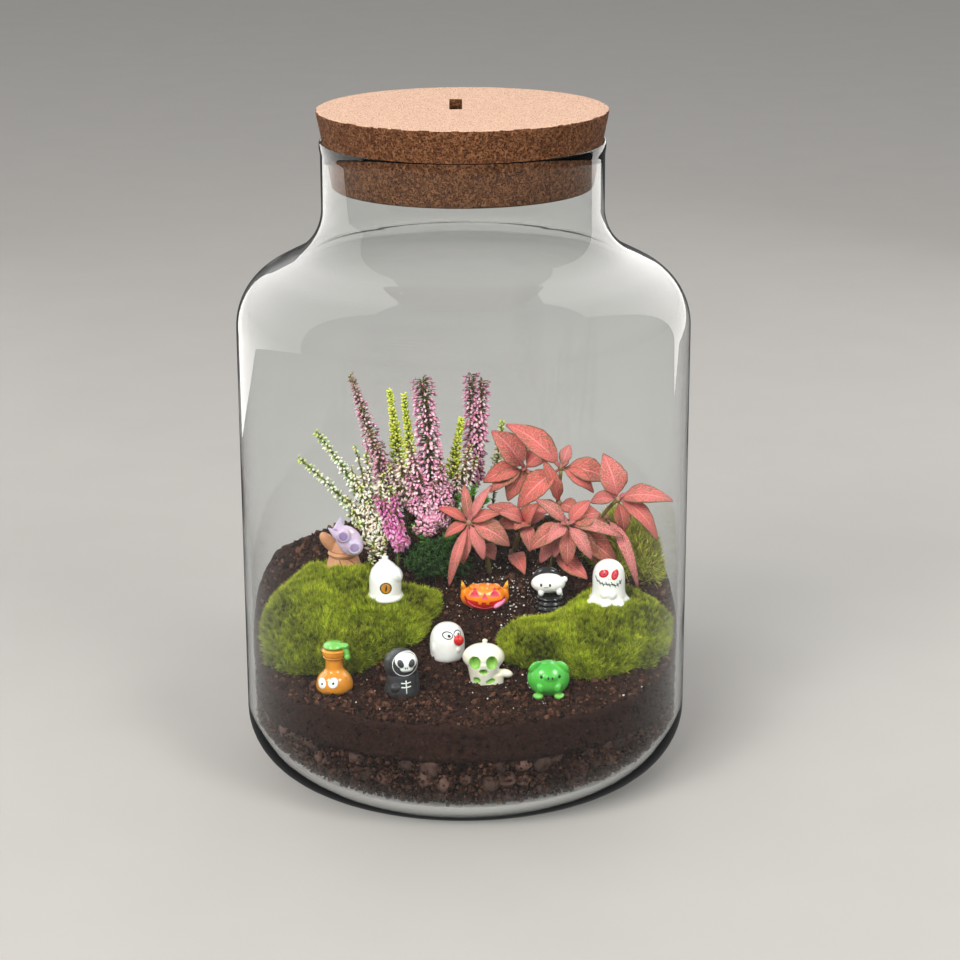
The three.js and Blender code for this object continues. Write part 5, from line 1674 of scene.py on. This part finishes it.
class Paint(Enum):
    """The miniatures' resins and paints."""

    TAN = MouldedResin("unglazed tan resin", "#CB946E", "#BC825C", 0.6, 0.05)
    SEAM = MouldedResin("brown line paint", "#6E4228", "#5C3622", 0.6, 0.0, 0.0)
    LILAC = MouldedResin("translucent lilac resin", "#EAD8EE", "#DFC6E6", 0.12, 0.6, 0.4, 0.3)
    VIOLET = MouldedResin("violet gloss resin", "#BFA6CF", "#A98CBC", 0.1, 0.6, 0.2, 0.3)
    WHITE = MouldedResin("white gloss resin", "#F4F3EF", "#ECEAE4", 0.28)
    AMBER = MouldedResin("amber gloss resin", "#EC9C30", "#D98A20", 0.14, 0.6, 0.3, 0.12)
    GOLD = MouldedResin("amber eye paint", "#D9962E", "#B8701C", 0.25)
    DARK = MouldedResin("dark line paint", "#231C1A", "#171312", 0.35, 0.2, 0.0)
    ORANGE = MouldedResin("orange gloss resin", "#F58A18", "#EE7412", 0.22, 0.5)
    YELLOW = MouldedResin("yellow gloss paint", "#FBB02A", "#F59A1C", 0.22, 0.5)
    RED = MouldedResin("red gloss paint", "#D8231C", "#C01A18", 0.2, 0.6)
    ROSE = MouldedResin("rose paint", "#E2546A", "#D43A50", 0.25)
    PINK = MouldedResin("pink gloss paint", "#E58BB0", "#CC5E90", 0.2, 0.6)
    BLACK = MouldedResin("black gloss resin", "#1B1B1E", "#111113", 0.2, 0.6, 0.0)
    GRAPHITE = MouldedResin("charcoal satin resin", "#3A3A3D", "#2A2A2D", 0.4, 0.2, 0.0)
    IVORY = MouldedResin("ivory satin resin", "#F0ECDB", "#E6E0C8", 0.34)
    APPLE = MouldedResin("apple green paint", "#8CC152", "#79B045", 0.35)
    GREEN = MouldedResin("green gloss resin", "#58BE4A", "#45AC3E", 0.18, 0.6)
    LIME = MouldedResin("light green gloss resin", "#7CC65C", "#69B84C", 0.2, 0.5, 0.25)


@dataclass(frozen=True)
class Stand:
    """Where a miniature stands: its place, its base's height, its heading and its shift."""

    at: Flat
    base: float
    turn: float = 0.0
    shift: Point = (0.0, 0.0, 0.0)

    def matrix(self) -> Matrix:
        """Returns what brings the miniature from the origin to its place."""
        spot = Matrix.Translation((*self.at, self.base))
        return spot @ Matrix.Rotation(self.turn, 4, "Z") @ Matrix.Translation(self.shift)


class Miniature:
    """A moulded and painted figure, made at the origin and facing -Y."""

    def __init__(
        self,
        stand: Stand,
        body: Paint,
        parts: list[Shape],
        cuts: list[Shape] | None = None,
        hollow: Paint | None = None,
        soften: int = 5,
    ) -> None:
        """Moulds the body.

        Args:
            stand: Where the figure stands.
            body: The body's resin.
            parts: The shapes that it is fused from.
            cuts: The shapes that are carved out of it.
            hollow: The paint in the carved hollows, or none.
            soften: How often its edges are smoothed.
        """
        self.stand = stand
        self.finishes: list[Paint] = []
        self.whole = Gathering()
        hollows = [self.planes(cut) for cut in cuts or []] if hollow else []
        shape = moulded(parts, cuts or [], soften=soften)
        self.skin = BVHTree.FromBMesh(shape)
        if hollow:
            self.finishes = [body, hollow]
            middles = np.array([face.calc_center_median()[:] for face in shape.faces])
            inside = [(middles @ ways.T - reach).max(axis=1) < 0.25 for ways, reach in hollows]
            for face, painted in zip(shape.faces, np.any(inside, axis=0)):
                face.material_index = int(painted)
        self.wear(shape, body)

    @staticmethod
    def planes(cut: Shape) -> tuple[np.ndarray, np.ndarray]:
        """Returns the ways that a rounded-out cut's faces look, and how far out each of them lies."""
        cut.normal_update()
        ways = np.array([face.normal[:] for face in cut.faces])
        spots = np.array([face.calc_center_median()[:] for face in cut.faces])
        return ways, (ways * spots).sum(axis=1)

    def wear(self, shape: Shape, paint: Paint) -> None:
        """Adds a shape to the figure in one paint, and frees it."""
        if paint not in self.finishes:
            self.finishes.append(paint)
        bmesh.ops.transform(shape, matrix=self.stand.matrix(), verts=shape.verts)
        self.whole.add(shape, finish=self.finishes.index(paint))

    def pressed(self, shape: Shape) -> Shape:
        """Presses a shape that lies in the XZ plane onto the figure's front."""
        last = 0.0
        for corner in shape.verts:
            hit = self.skin.ray_cast(Vector((corner.co.x, -60, corner.co.z)), Vector((0, 1, 0)))[0]
            last = hit.y if hit else last
            corner.co.y += last
        return shape

    def spot(self, at: Flat, size: Flat, paint: Paint, proud: float = 0.16, tilt: float = 0.0) -> None:
        """Paints an oval on the front.

        Args:
            at: Its centre across and up.
            size: Its half sizes.
            paint: Its paint.
            proud: How far it stands off the skin.
            tilt: Its turn, clockwise, in radians.
        """
        oval = bmesh.new()
        bmesh.ops.create_uvsphere(oval, u_segments=22, v_segments=10, radius=1.0)
        bmesh.ops.rotate(oval, matrix=Matrix.Rotation(math.pi / 2, 3, "X"), verts=oval.verts)
        placed(oval, (at[0], 0, at[1]), (size[0], proud, size[1]), (0, tilt, 0))
        self.wear(self.pressed(oval), paint)

    def line(self, points: list[Flat], width: float, paint: Paint) -> None:
        """Paints a line on the front.

        Args:
            points: Its points across and up.
            width: Its width.
            paint: Its paint.
        """
        path = [Vector((x, 0, z)) for x, z in points]
        fine = [path[0]]
        for a, b in zip(path, path[1:]):
            fine += [a.lerp(b, i / 3) for i in (1, 2, 3)]
        self.wear(self.pressed(tube(fine, [width / 2] * len(fine), 6)), paint)

    def patch(self, outline: list[Flat], paint: Paint, proud: float = 0.12) -> None:
        """Paints a shape with a given outline on the front.

        Args:
            outline: Its corners across and up.
            paint: Its paint.
            proud: How far it stands off the skin.
        """
        shape = bmesh.new()
        shape.faces.new([shape.verts.new((x, -proud, z)) for x, z in outline])
        bmesh.ops.triangulate(shape, faces=shape.faces[:])
        bmesh.ops.subdivide_edges(shape, edges=shape.edges[:], cuts=3, use_grid_fill=True)
        self.wear(self.pressed(shape), paint)

    def finish(self, name: str, node: str, slot: str) -> None:
        """Makes the piece."""
        self.whole.piece(name, slot, [paint.value for paint in self.finishes], (node,))


def bent(points: list[Flat], steps: int = 6) -> list[Flat]:
    """Rounds a line of points off with a Catmull-Rom curve through them."""

    def between(a: float, b: float, c: float, d: float, t: float) -> float:
        """Returns where the curve is at a share of the way from its second value to its third."""
        square, cube = 2 * a - 5 * b + 4 * c - d, 3 * b - a - 3 * c + d
        return 0.5 * (2 * b + (c - a) * t + square * t**2 + cube * t**3)

    ends = [points[0], *points, points[-1]]
    rows = zip(ends, ends[1:], ends[2:], ends[3:])
    out = [tuple(between(*four, i / steps) for four in zip(*row)) for row in rows for i in range(steps)]
    return [*out, points[-1]]


@dataclass
class Miniatures:
    """The ten small figures on the soil and the moss, and what three of them carry."""

    robed: Stand = Stand((-56, 14), 84)
    hooded: Stand = Stand((-36, -8), 77.5, 0.1)
    pumpkin_at: Stand = Stand((9, 0), 69)
    rings: Stand = Stand((39, 1), 69.5)
    stitched: Stand = Stand((65, -9), 76.2, -0.1)
    egg: Stand = Stand((-8, -29), 57, 0.5)
    skull_at: Stand = Stand((8, -47), 52.6)
    animal_at: Stand = Stand((36, -59), 51)
    flask_at: Stand = Stand((-57, -53), 51, -0.3)
    skeleton_at: Stand = Stand((-28, -56), 51, 0.15)

    def robed_figure(self) -> None:
        """Makes the tan robed figure and the lilac mask that it wears."""
        robe = bent([(7.5, 0.0), (7.8, 2.5), (6.6, 7.0), (5.6, 11.0), (4.4, 13.4), (1.5, 14.6)])
        parts = [spun([(0, 0), *robe, (0, 14.7)], 40)]
        parts += [ball((-6.4, -0.5, 13.5), (3.0, 3.0, 6.0), (0, -0.7, 0))]
        parts += [spun([(0, 7.4), (6.6, 7.5), (7.3, 8.5), (6.6, 9.5), (0, 9.6)], 40)]
        parts += [cone((6, 0, 5), (3, 3, 9))]
        figure = Miniature(self.robed, Paint.TAN, parts, soften=3)
        figure.line([(-1.6, 7.2), (-0.4, 4.2), (1.6, 1.4), (2.0, 0.6)], 0.3, Paint.SEAM)
        figure.line([(2.2, 7.2), (4.2, 5.8), (6.2, 3.6)], 0.3, Paint.SEAM)
        figure.line([(-7.0, 8.0), (-3.0, 7.1), (2.0, 7.1), (6.4, 8.0)], 0.28, Paint.SEAM)
        figure.line([(-7.0, 9.9), (-3.0, 9.7), (2.0, 9.7), (6.0, 9.9)], 0.28, Paint.SEAM)
        figure.finish("robed_figure", "mini_robed", "mini_tan")
        worn = Stand(self.robed.at, self.robed.base, 0.0, (3.4, -8.6, 17.0))
        parts = [ball((0, 0, 0), (5.8, 3.2, 8.0), (0, -0.6, 0))]
        parts += [ball((-2.4, -2.2, 3.0), (3.5, 2.4, 3.5)), ball((2.6, -2.4, -2.4), (3.8, 2.6, 3.6))]
        parts += [cone((-4.2, 0.2, 8.6), (3.0, 1.8, 6.4), (0, 0.1, 0))]
        parts += [cone((-8.0, 0.4, 4.6), (2.4, 1.8, 6.0), (0, -0.9, 0))]
        holes = [ball((-2.5, -5.0, 3.2), (2.6, 1.9, 2.6)), ball((2.6, -5.4, -2.2), (2.8, 1.9, 2.6))]
        mask = Miniature(worn, Paint.LILAC, parts, holes, soften=2)
        mask.wear(ball((-2.5, -3.6, 3.0), (2.3, 0.5, 2.3)), Paint.VIOLET)
        mask.wear(ball((2.6, -3.9, -2.4), (2.5, 0.5, 2.3)), Paint.VIOLET)
        mask.finish("lilac_mask", "mini_robed_mask", "mini_lilac")

    def hooded_ghost(self) -> None:
        """Makes the white hooded ghost with one amber eye."""
        hood = [(7.4, 0.2), (8.3, 1.2), (8.2, 2.4), (7.4, 3.4), (7.3, 6.0), (7.2, 10.5)]
        hood += [(6.3, 14.0), (4.4, 16.6), (2.4, 18.3), (1.5, 19.3), (1.6, 20.4)]
        parts = [spun([(0, 0), (6.8, 0), *bent(hood), (0, 21.1)], 40), ball((0, -5.9, 7.6), (3.2, 1.6, 3.2))]
        parts += [ball((2.6, -1.0, 12.2), (5.6, 5.6, 4.4), (0, 0.35, 0))]
        fold = [(0.8, -2.2, 18.8), (3.2, -3.6, 16.6), (5.4, -4.7, 13.8), (7.0, -4.6, 10.6), (8.2, -2.6, 7.6)]
        folds = [fold, [(-0.8, -2.3, 18.6), (-3.2, -3.9, 16.4), (-5.6, -4.2, 13.6)]]
        creases = [tube(fold, [0.4] + [0.75] * (len(fold) - 2) + [0.4], 10) for fold in folds]
        ghost = Miniature(self.hooded, Paint.WHITE, parts, creases, soften=3)
        ghost.spot((-0.2, 7.6), (2.75, 2.75), Paint.DARK, 0.12)
        ghost.spot((-0.2, 7.6), (2.35, 2.35), Paint.GOLD, 0.26)
        ghost.spot((-0.1, 7.6), (0.42, 1.7), Paint.DARK, 0.42, 0.1)
        ghost.finish("hooded_ghost", "mini_hooded_ghost", "mini_white")

    def pumpkin(self) -> None:
        """Makes the half pumpkin with side horns and a wide grin."""
        shell = ball((0, 0, 0), (1, 1, 1), detail=64)
        for corner in shell.verts:
            x, y, z = corner.co
            rib = 1 - 0.09 * abs(math.sin(4 * math.atan2(y, x)))
            corner.co = (x * rib, y * (rib if y < 0 else 0.35), z)
        placed(shell, (0, 0, 6.6), (11.2, 7.2, 6.6))
        horns = [cone((side * 9.6, 0.4, 10.4), (2.4, 2.2, 7.6), (0, side * 0.2, 0)) for side in (-1, 1)]
        tops = [ball((x, -1.8, 12.0), (2.7, 2.6, 1.4), detail=14) for x in (-4.6, 0.0, 4.6)]
        holes = [((-4.6, -5.8, 10.0), (2.2, 2.5, 2.8)), ((4.6, -5.8, 10.0), (2.2, 2.5, 2.8))]
        holes += [((0.0, -7.2, 8.7), (1.3, 1.6, 2.2))]
        sockets = [cone(at, size, (math.pi / 2, 0, 0), 3, 1.0) for at, size in holes]
        pumpkin = Miniature(self.pumpkin_at, Paint.ORANGE, [shell, *horns, *tops], sockets, Paint.ROSE, 2)
        low = [(9.4 * math.cos(a), 8.2 + 6.6 * math.sin(a)) for a in np.linspace(math.pi, math.tau, 15)]
        back = np.linspace(math.tau, math.pi, 13)[1:-1]
        high = [(8.8 * math.cos(a), 8.2 + 1.9 * math.sin(a)) for a in back]
        pumpkin.patch(low + high, Paint.RED, 0.16)
        angles = np.linspace(math.pi * 1.1, math.tau * 0.95, 13)
        pumpkin.line([(8.2 * math.cos(a), 7.8 + 4.9 * math.sin(a)) for a in angles], 0.7, Paint.ROSE)
        for x in (-2.2, 1.3):
            pumpkin.patch([(x - 0.9, 6.8), (x - 0.7, 5.2), (x + 0.7, 5.2), (x + 0.9, 6.8)], Paint.ORANGE, 0.4)
        pumpkin.wear(ball((6.8, -4.9, 5.0), (3.5, 1.5, 1.2), (0, -0.5, 0.5)), Paint.PINK)
        for side in (-1, 1):
            pumpkin.wear(cone((side * 10.05, 0.4, 12.6), (1.45, 1.34, 3.8), (0, side * 0.2, 0)), Paint.YELLOW)
        pumpkin.finish("half_pumpkin", "mini_pumpkin", "mini_orange")

    def pillow_on_rings(self) -> None:
        """Makes the black ring stack and the white pillow creature on it."""
        profile = [(7.0, 0.1), (7.7, 1.3), (6.7, 2.5), (7.1, 3.6), (6.3, 4.7), (6.6, 5.8), (5.8, 6.8)]
        stack = [spun([(0, 0), *bent(profile), (0, 6.9)], 40), ball((-1.4, 4.8, 10.4), (7.4, 2.8, 8.0))]
        rings = Miniature(self.rings, Paint.BLACK, stack, soften=2)
        rings.finish("black_rings", "mini_rings", "mini_black")
        parts = [ball((0, 0, 5), (8.0, 4.6, 4.6)), ball((-3.4, -2.6, 1.4), (1.4, 1.4, 1.8))]
        parts += [ball((5, -2.6, 1.8), (1.4, 1.4, 1.8)), ball((7.4, -0.6, 7), (1.5, 1.3, 1.5))]
        seat = Stand(self.rings.at, self.rings.base, 0.0, (-1.0, -1.0, 7.4))
        pillow = Miniature(seat, Paint.WHITE, parts)
        for x in (-3.4, 0.6):
            pillow.spot((x, 5.4), (0.5, 0.8), Paint.GRAPHITE)
        mouth = [(-2.2, 4.5), (-1.6, 4.2), (-1.1, 4.5), (-0.6, 4.2), (0.0, 4.5)]
        pillow.line(bent(mouth, 3), 0.28, Paint.GRAPHITE)
        pillow.finish("pillow_creature", "mini_pillow_creature", "mini_white")

    def stitched_ghost(self) -> None:
        """Makes the white ghost with red eyes and a stitched mouth."""
        profile = [(9.2, 0.1), (9.6, 1.0), (8.0, 3.2), (7.4, 7.0)]
        profile += [(7.3, 13.0), (6.0, 17.0), (3.4, 19.3), (1.0, 19.9)]
        cloak = spun([(0, 0), *bent(profile), (0, 20)], 56)
        for corner in cloak.verts:
            x, y, z = corner.co
            low = max(0.0, 1 - z / 4.5)
            flare = 1 + 0.13 * low * math.cos(7 * math.atan2(y, x))
            corner.co = (x * flare, y * flare * 0.92, z)
        hands = [ball((-1.6, -6.4, 5.2), (1.9, 1.7, 1.9)), ball((1.8, -6.4, 5.2), (1.9, 1.7, 1.9))]
        ghost = Miniature(self.stitched, Paint.WHITE, [cloak, *hands], soften=4)
        for at, size, tilt in (((-2.1, 15.2), (2.4, 1.7), -0.45), ((2.9, 14.7), (1.6, 2.4), 0.25)):
            ghost.spot(at, size, Paint.RED, 0.14, tilt)
            ghost.spot(at, (size[0] * 0.68, size[1] * 0.68), Paint.ROSE, 0.26, tilt)
            ghost.spot((at[0] + 0.2, at[1] - 0.1), (0.35, 0.35), Paint.DARK, 0.4)
        for x in (0.1, 1.0):
            ghost.spot((x, 12.9), (0.22, 0.22), Paint.GOLD)
        mouth = [(-5.9, 13.6), (-5.2, 12.0), (-3.9, 11.0), (-2.4, 10.3), (-0.8, 10.7), (0.6, 10.1)]
        mouth += [(1.8, 10.6), (2.9, 9.8), (4.2, 10.0), (5.3, 10.9), (5.9, 12.0)]
        ghost.line(mouth, 0.4, Paint.DARK)
        for x, z in mouth[1:-1]:
            ghost.line([(x - 0.4, z + 1.0), (x + 0.35, z - 0.9)], 0.34, Paint.DARK)
        ghost.finish("stitched_ghost", "mini_stitched_ghost", "mini_white")

    def egg_ghost(self) -> None:
        """Makes the round white ghost with a red ball nose."""
        profile = [(6.6, 0.1), (7.4, 2.0), (7.8, 6.0), (7.5, 10.5), (6.2, 13.8), (3.8, 15.9), (1.0, 16.7)]
        parts = [spun([(0, 0), *bent(profile), (0, 16.8)], 40), ball((-6.8, -1, 6.5), (1.6, 1.6, 3.2))]
        parts += [ball((1.4, -6.7, 6.4), (1.9, 1.5, 2.2))]
        ghost = Miniature(self.egg, Paint.WHITE, parts)
        for x in (-2.8, 1.8):
            ghost.spot((x, 13.0), (2.2, 1.7), Paint.DARK, 0.1)
            ghost.spot((x, 13.0), (1.85, 1.36), Paint.WHITE, 0.24)
            ghost.spot((x + 0.3, 12.9), (0.75, 0.75), Paint.DARK, 0.42)
        ghost.wear(ball((1.6, -7.6, 10.6), (2.4, 2.3, 2.5)), Paint.RED)
        ghost.finish("egg_ghost", "mini_round_ghost", "mini_white")

    def skull(self) -> None:
        """Makes the ivory skull with a stem, and the bone that it stands on."""
        parts = [ball((0, 0, 11.8), (9.3, 6.7, 6.2), detail=32)]
        parts += [cone((0, -0.4, 5.2), (5.6, 4.9, 10.4), sides=28, tip=1.36)]
        parts += [cone((0.6, 0, 18.2), (1.2, 1.2, 3.6), sides=16, tip=0.8)]
        parts += [ball((0.6, 0, 19.4), (1.3, 1.2, 0.8))]
        parts += [cone((1.4, -0.6, 2.2), (7.6, 4.6, 4.4), sides=28, tip=0.94)]
        parts += [ball((9.6, -0.6, 4.2), (3.4, 2.0, 1.9), (0, 0.25, 0))]
        eyes = [ball((-4.1, -6.2, 11.0), (2.6, 2.4, 3.0), (0, 0.25, 0))]
        eyes += [ball((3.7, -6.2, 11.0), (2.5, 2.4, 3.0), (0, -0.2, 0))]
        eyes += [ball((-0.1, -6.4, 7.0), (1.7, 2.0, 1.15))]
        eyes += [ball((-3.6, -5.4, 2.7), (2.0, 1.3, 1.3))]
        eyes += [ball((3.2, -5.4, 2.2), (2.2, 1.3, 0.9), (0, -0.3, 0))]
        skull = Miniature(self.skull_at, Paint.IVORY, parts, eyes, Paint.APPLE)
        skull.finish("skull_on_bone", "mini_skull", "mini_ivory")

    def round_animal(self) -> None:
        """Makes the round green animal with folded ears."""
        parts = [ball((0, 0, 8.0), (9.3, 7.5, 8.1), detail=32), ball((0.6, -6.5, 10.4), (3.2, 1.3, 1.9))]
        for side in (-1, 1):
            parts += [ball((side * 5.8, -2.0, 13.9), (3.5, 1.5, 2.4), (0.5, side * 0.75, 0))]
            parts += [ball((side * 3.8, -6.6, 5.8), (1.6, 1.5, 2.1), (0, side * 0.3, 0))]
        animal = Miniature(self.animal_at, Paint.GREEN, parts, soften=4)
        for side in (-1, 1):
            animal.wear(ball((side * 4.6, -4.8, 1.4), (2.4, 2.4, 1.5)), Paint.LIME)
            animal.spot((0.6 + side * 3.9, 10.9), (0.6, 0.75), Paint.DARK)
            animal.spot((0.6 + side * 0.9, 10.6), (0.42, 0.62), Paint.DARK, 0.1)
        animal.finish("round_green_animal", "mini_round_animal", "mini_green")

    def flask(self) -> None:
        """Makes the amber flask with a face, and the green slime over its lip."""
        profile = [(6.2, 0.1), (7.8, 1.8), (8.0, 4.4), (6.8, 7.6), (4.3, 10.4), (3.8, 12.4)]
        profile += [(3.9, 15.4), (4.5, 16.6), (5.1, 17.6), (5.2, 19.2), (4.8, 20.1)]
        body = spun([(0, 0), *bent(profile), (0, 20.2)], 48)
        flask = Miniature(self.flask_at, Paint.AMBER, [body], soften=2)
        for x, z in ((-3.2, 5.8), (1.9, 6.5)):
            flask.spot((x, z), (2.1, 2.2), Paint.WHITE, 0.3)
            flask.spot((x + 0.2, z), (0.6, 0.6), Paint.DARK, 0.5)
        flask.line(bent([(-1.4, 2.6), (-0.4, 2.1), (0.8, 2.5)], 3), 0.3, Paint.SEAM)
        for height, reach in ((16.4, 4.5), (19.3, 5.15)):
            bead = [(reach * math.cos(a), reach * math.sin(a), height) for a in np.linspace(0, math.tau, 33)]
            flask.wear(tube(bead, [0.28] * 33, 6), Paint.AMBER)
        flask.finish("amber_flask", "mini_flask", "mini_amber")
        over = Stand(self.flask_at.at, self.flask_at.base, self.flask_at.turn, (0.0, 0.0, 20.5))
        drip = [(-3.6, -1.6, 1.0), (-1.0, -1.4, 1.7), (2.4, -1.0, 1.7)]
        drip += [(5.0, -0.6, 0.8), (6.1, -0.6, -1.6), (6.3, -0.6, -3.6)]
        parts = [spun([(0, 0), (4.2, 0), (4.7, 0.8), (3.6, 2.2), (0, 2.9)], 32)]
        parts += [tube(drip, [1.0, 1.3, 1.3, 1.3, 1.2, 1.0], 12)]
        parts += [ball((6.3, -0.6, -3.5), (1.4, 1.7, 1.6)), ball((4.6, -0.4, 1.4), (2.4, 2.2, 1.3))]
        slime = Miniature(over, Paint.LIME, parts)
        slime.finish("green_slime", "mini_flask_slime", "mini_green")

    def skeleton(self) -> None:
        """Makes the charcoal hooded skeleton with a plain white face."""
        cloak = bent([(7.1, 0.1), (7.4, 2.0), (6.6, 6.0), (6.0, 9.6), (4.0, 11.6)])
        parts = [spun([(0, 0), *cloak, (0, 12)], 36), ball((0, 0.4, 13.6), (7.6, 7.0, 7.2), detail=32)]
        parts += [ball((-3.4, -6, 5), (2.2, 1.7, 1.6))]
        parts += [tube([(6.2, -2.4, 12), (6.9, -2.6, 6), (7.0, -2.4, 1)], [0.8, 0.9, 0.9])]
        figure = Miniature(self.skeleton_at, Paint.GRAPHITE, parts, soften=4)
        figure.wear(ball((1.5, -4.5, 16.6), (4.9, 2.4, 3.9), (-0.45, 0, 0), 28), Paint.WHITE)
        figure.wear(ball((1.5, -5.4, 13.7), (3.3, 1.8, 1.9), (0, 0, 0), 24), Paint.WHITE)
        for side in (-1, 1):
            eye = ball((1.5 + side * 2.2, -6.3, 16.4), (1.6, 0.8, 2.0), (-0.45, side * 0.25, 0))
            figure.wear(eye, Paint.GRAPHITE)
            figure.wear(ball((1.5 + side * 0.4, -7.0, 14.2), (0.3, 0.35, 0.5)), Paint.GRAPHITE)
        rim = [(1.3 + 5.6 * math.cos(a), 15.2 + 5.0 * math.sin(a)) for a in np.linspace(0, math.tau, 29)]
        figure.line(rim, 0.3, Paint.WHITE)
        figure.line([(1.4, 8.2), (1.5, 5.4), (1.5, 2.4)], 0.6, Paint.WHITE)
        for z in (6.9, 5.1):
            figure.line([(-0.8, z + 0.2), (1.4, z), (3.6, z + 0.2)], 0.55, Paint.WHITE)
        figure.finish("hooded_skeleton", "mini_skeleton", "mini_black")

    def make(self) -> None:
        """Makes all the figures, each with what it carries."""
        self.robed_figure()
        self.hooded_ghost()
        self.pumpkin()
        self.pillow_on_rings()
        self.stitched_ghost()
        self.egg_ghost()
        self.skull()
        self.round_animal()
        self.flask()
        self.skeleton()


def main() -> None:
    """Builds every part in order and reports it."""
    logging.basicConfig(level=logging.INFO, format="%(message)s")
    studio = Studio()
    studio.set_up()
    cork = CorkStopper()
    cork.make()
    studio.glints(GlassJar().make(cork))
    PebbleLayer().make()
    SoilBed().make()
    MossCushion("moss_front_left", "moss_left", MossKind.VELVET, 90000, 11).make()
    MossCushion("moss_front_right", "moss_right", MossKind.VELVET, 80000, 12, sunk=3.6).make()
    MossCushion("moss_back_right", "moss_back", MossKind.STRINGY, 16000, 13).make()
    for part in heathers():
        part.make()
    HeatherFoliage().make()
    for stem in nerve_stems():
        stem.make()
    Miniatures().make()


if __name__ == "__main__":
    main()
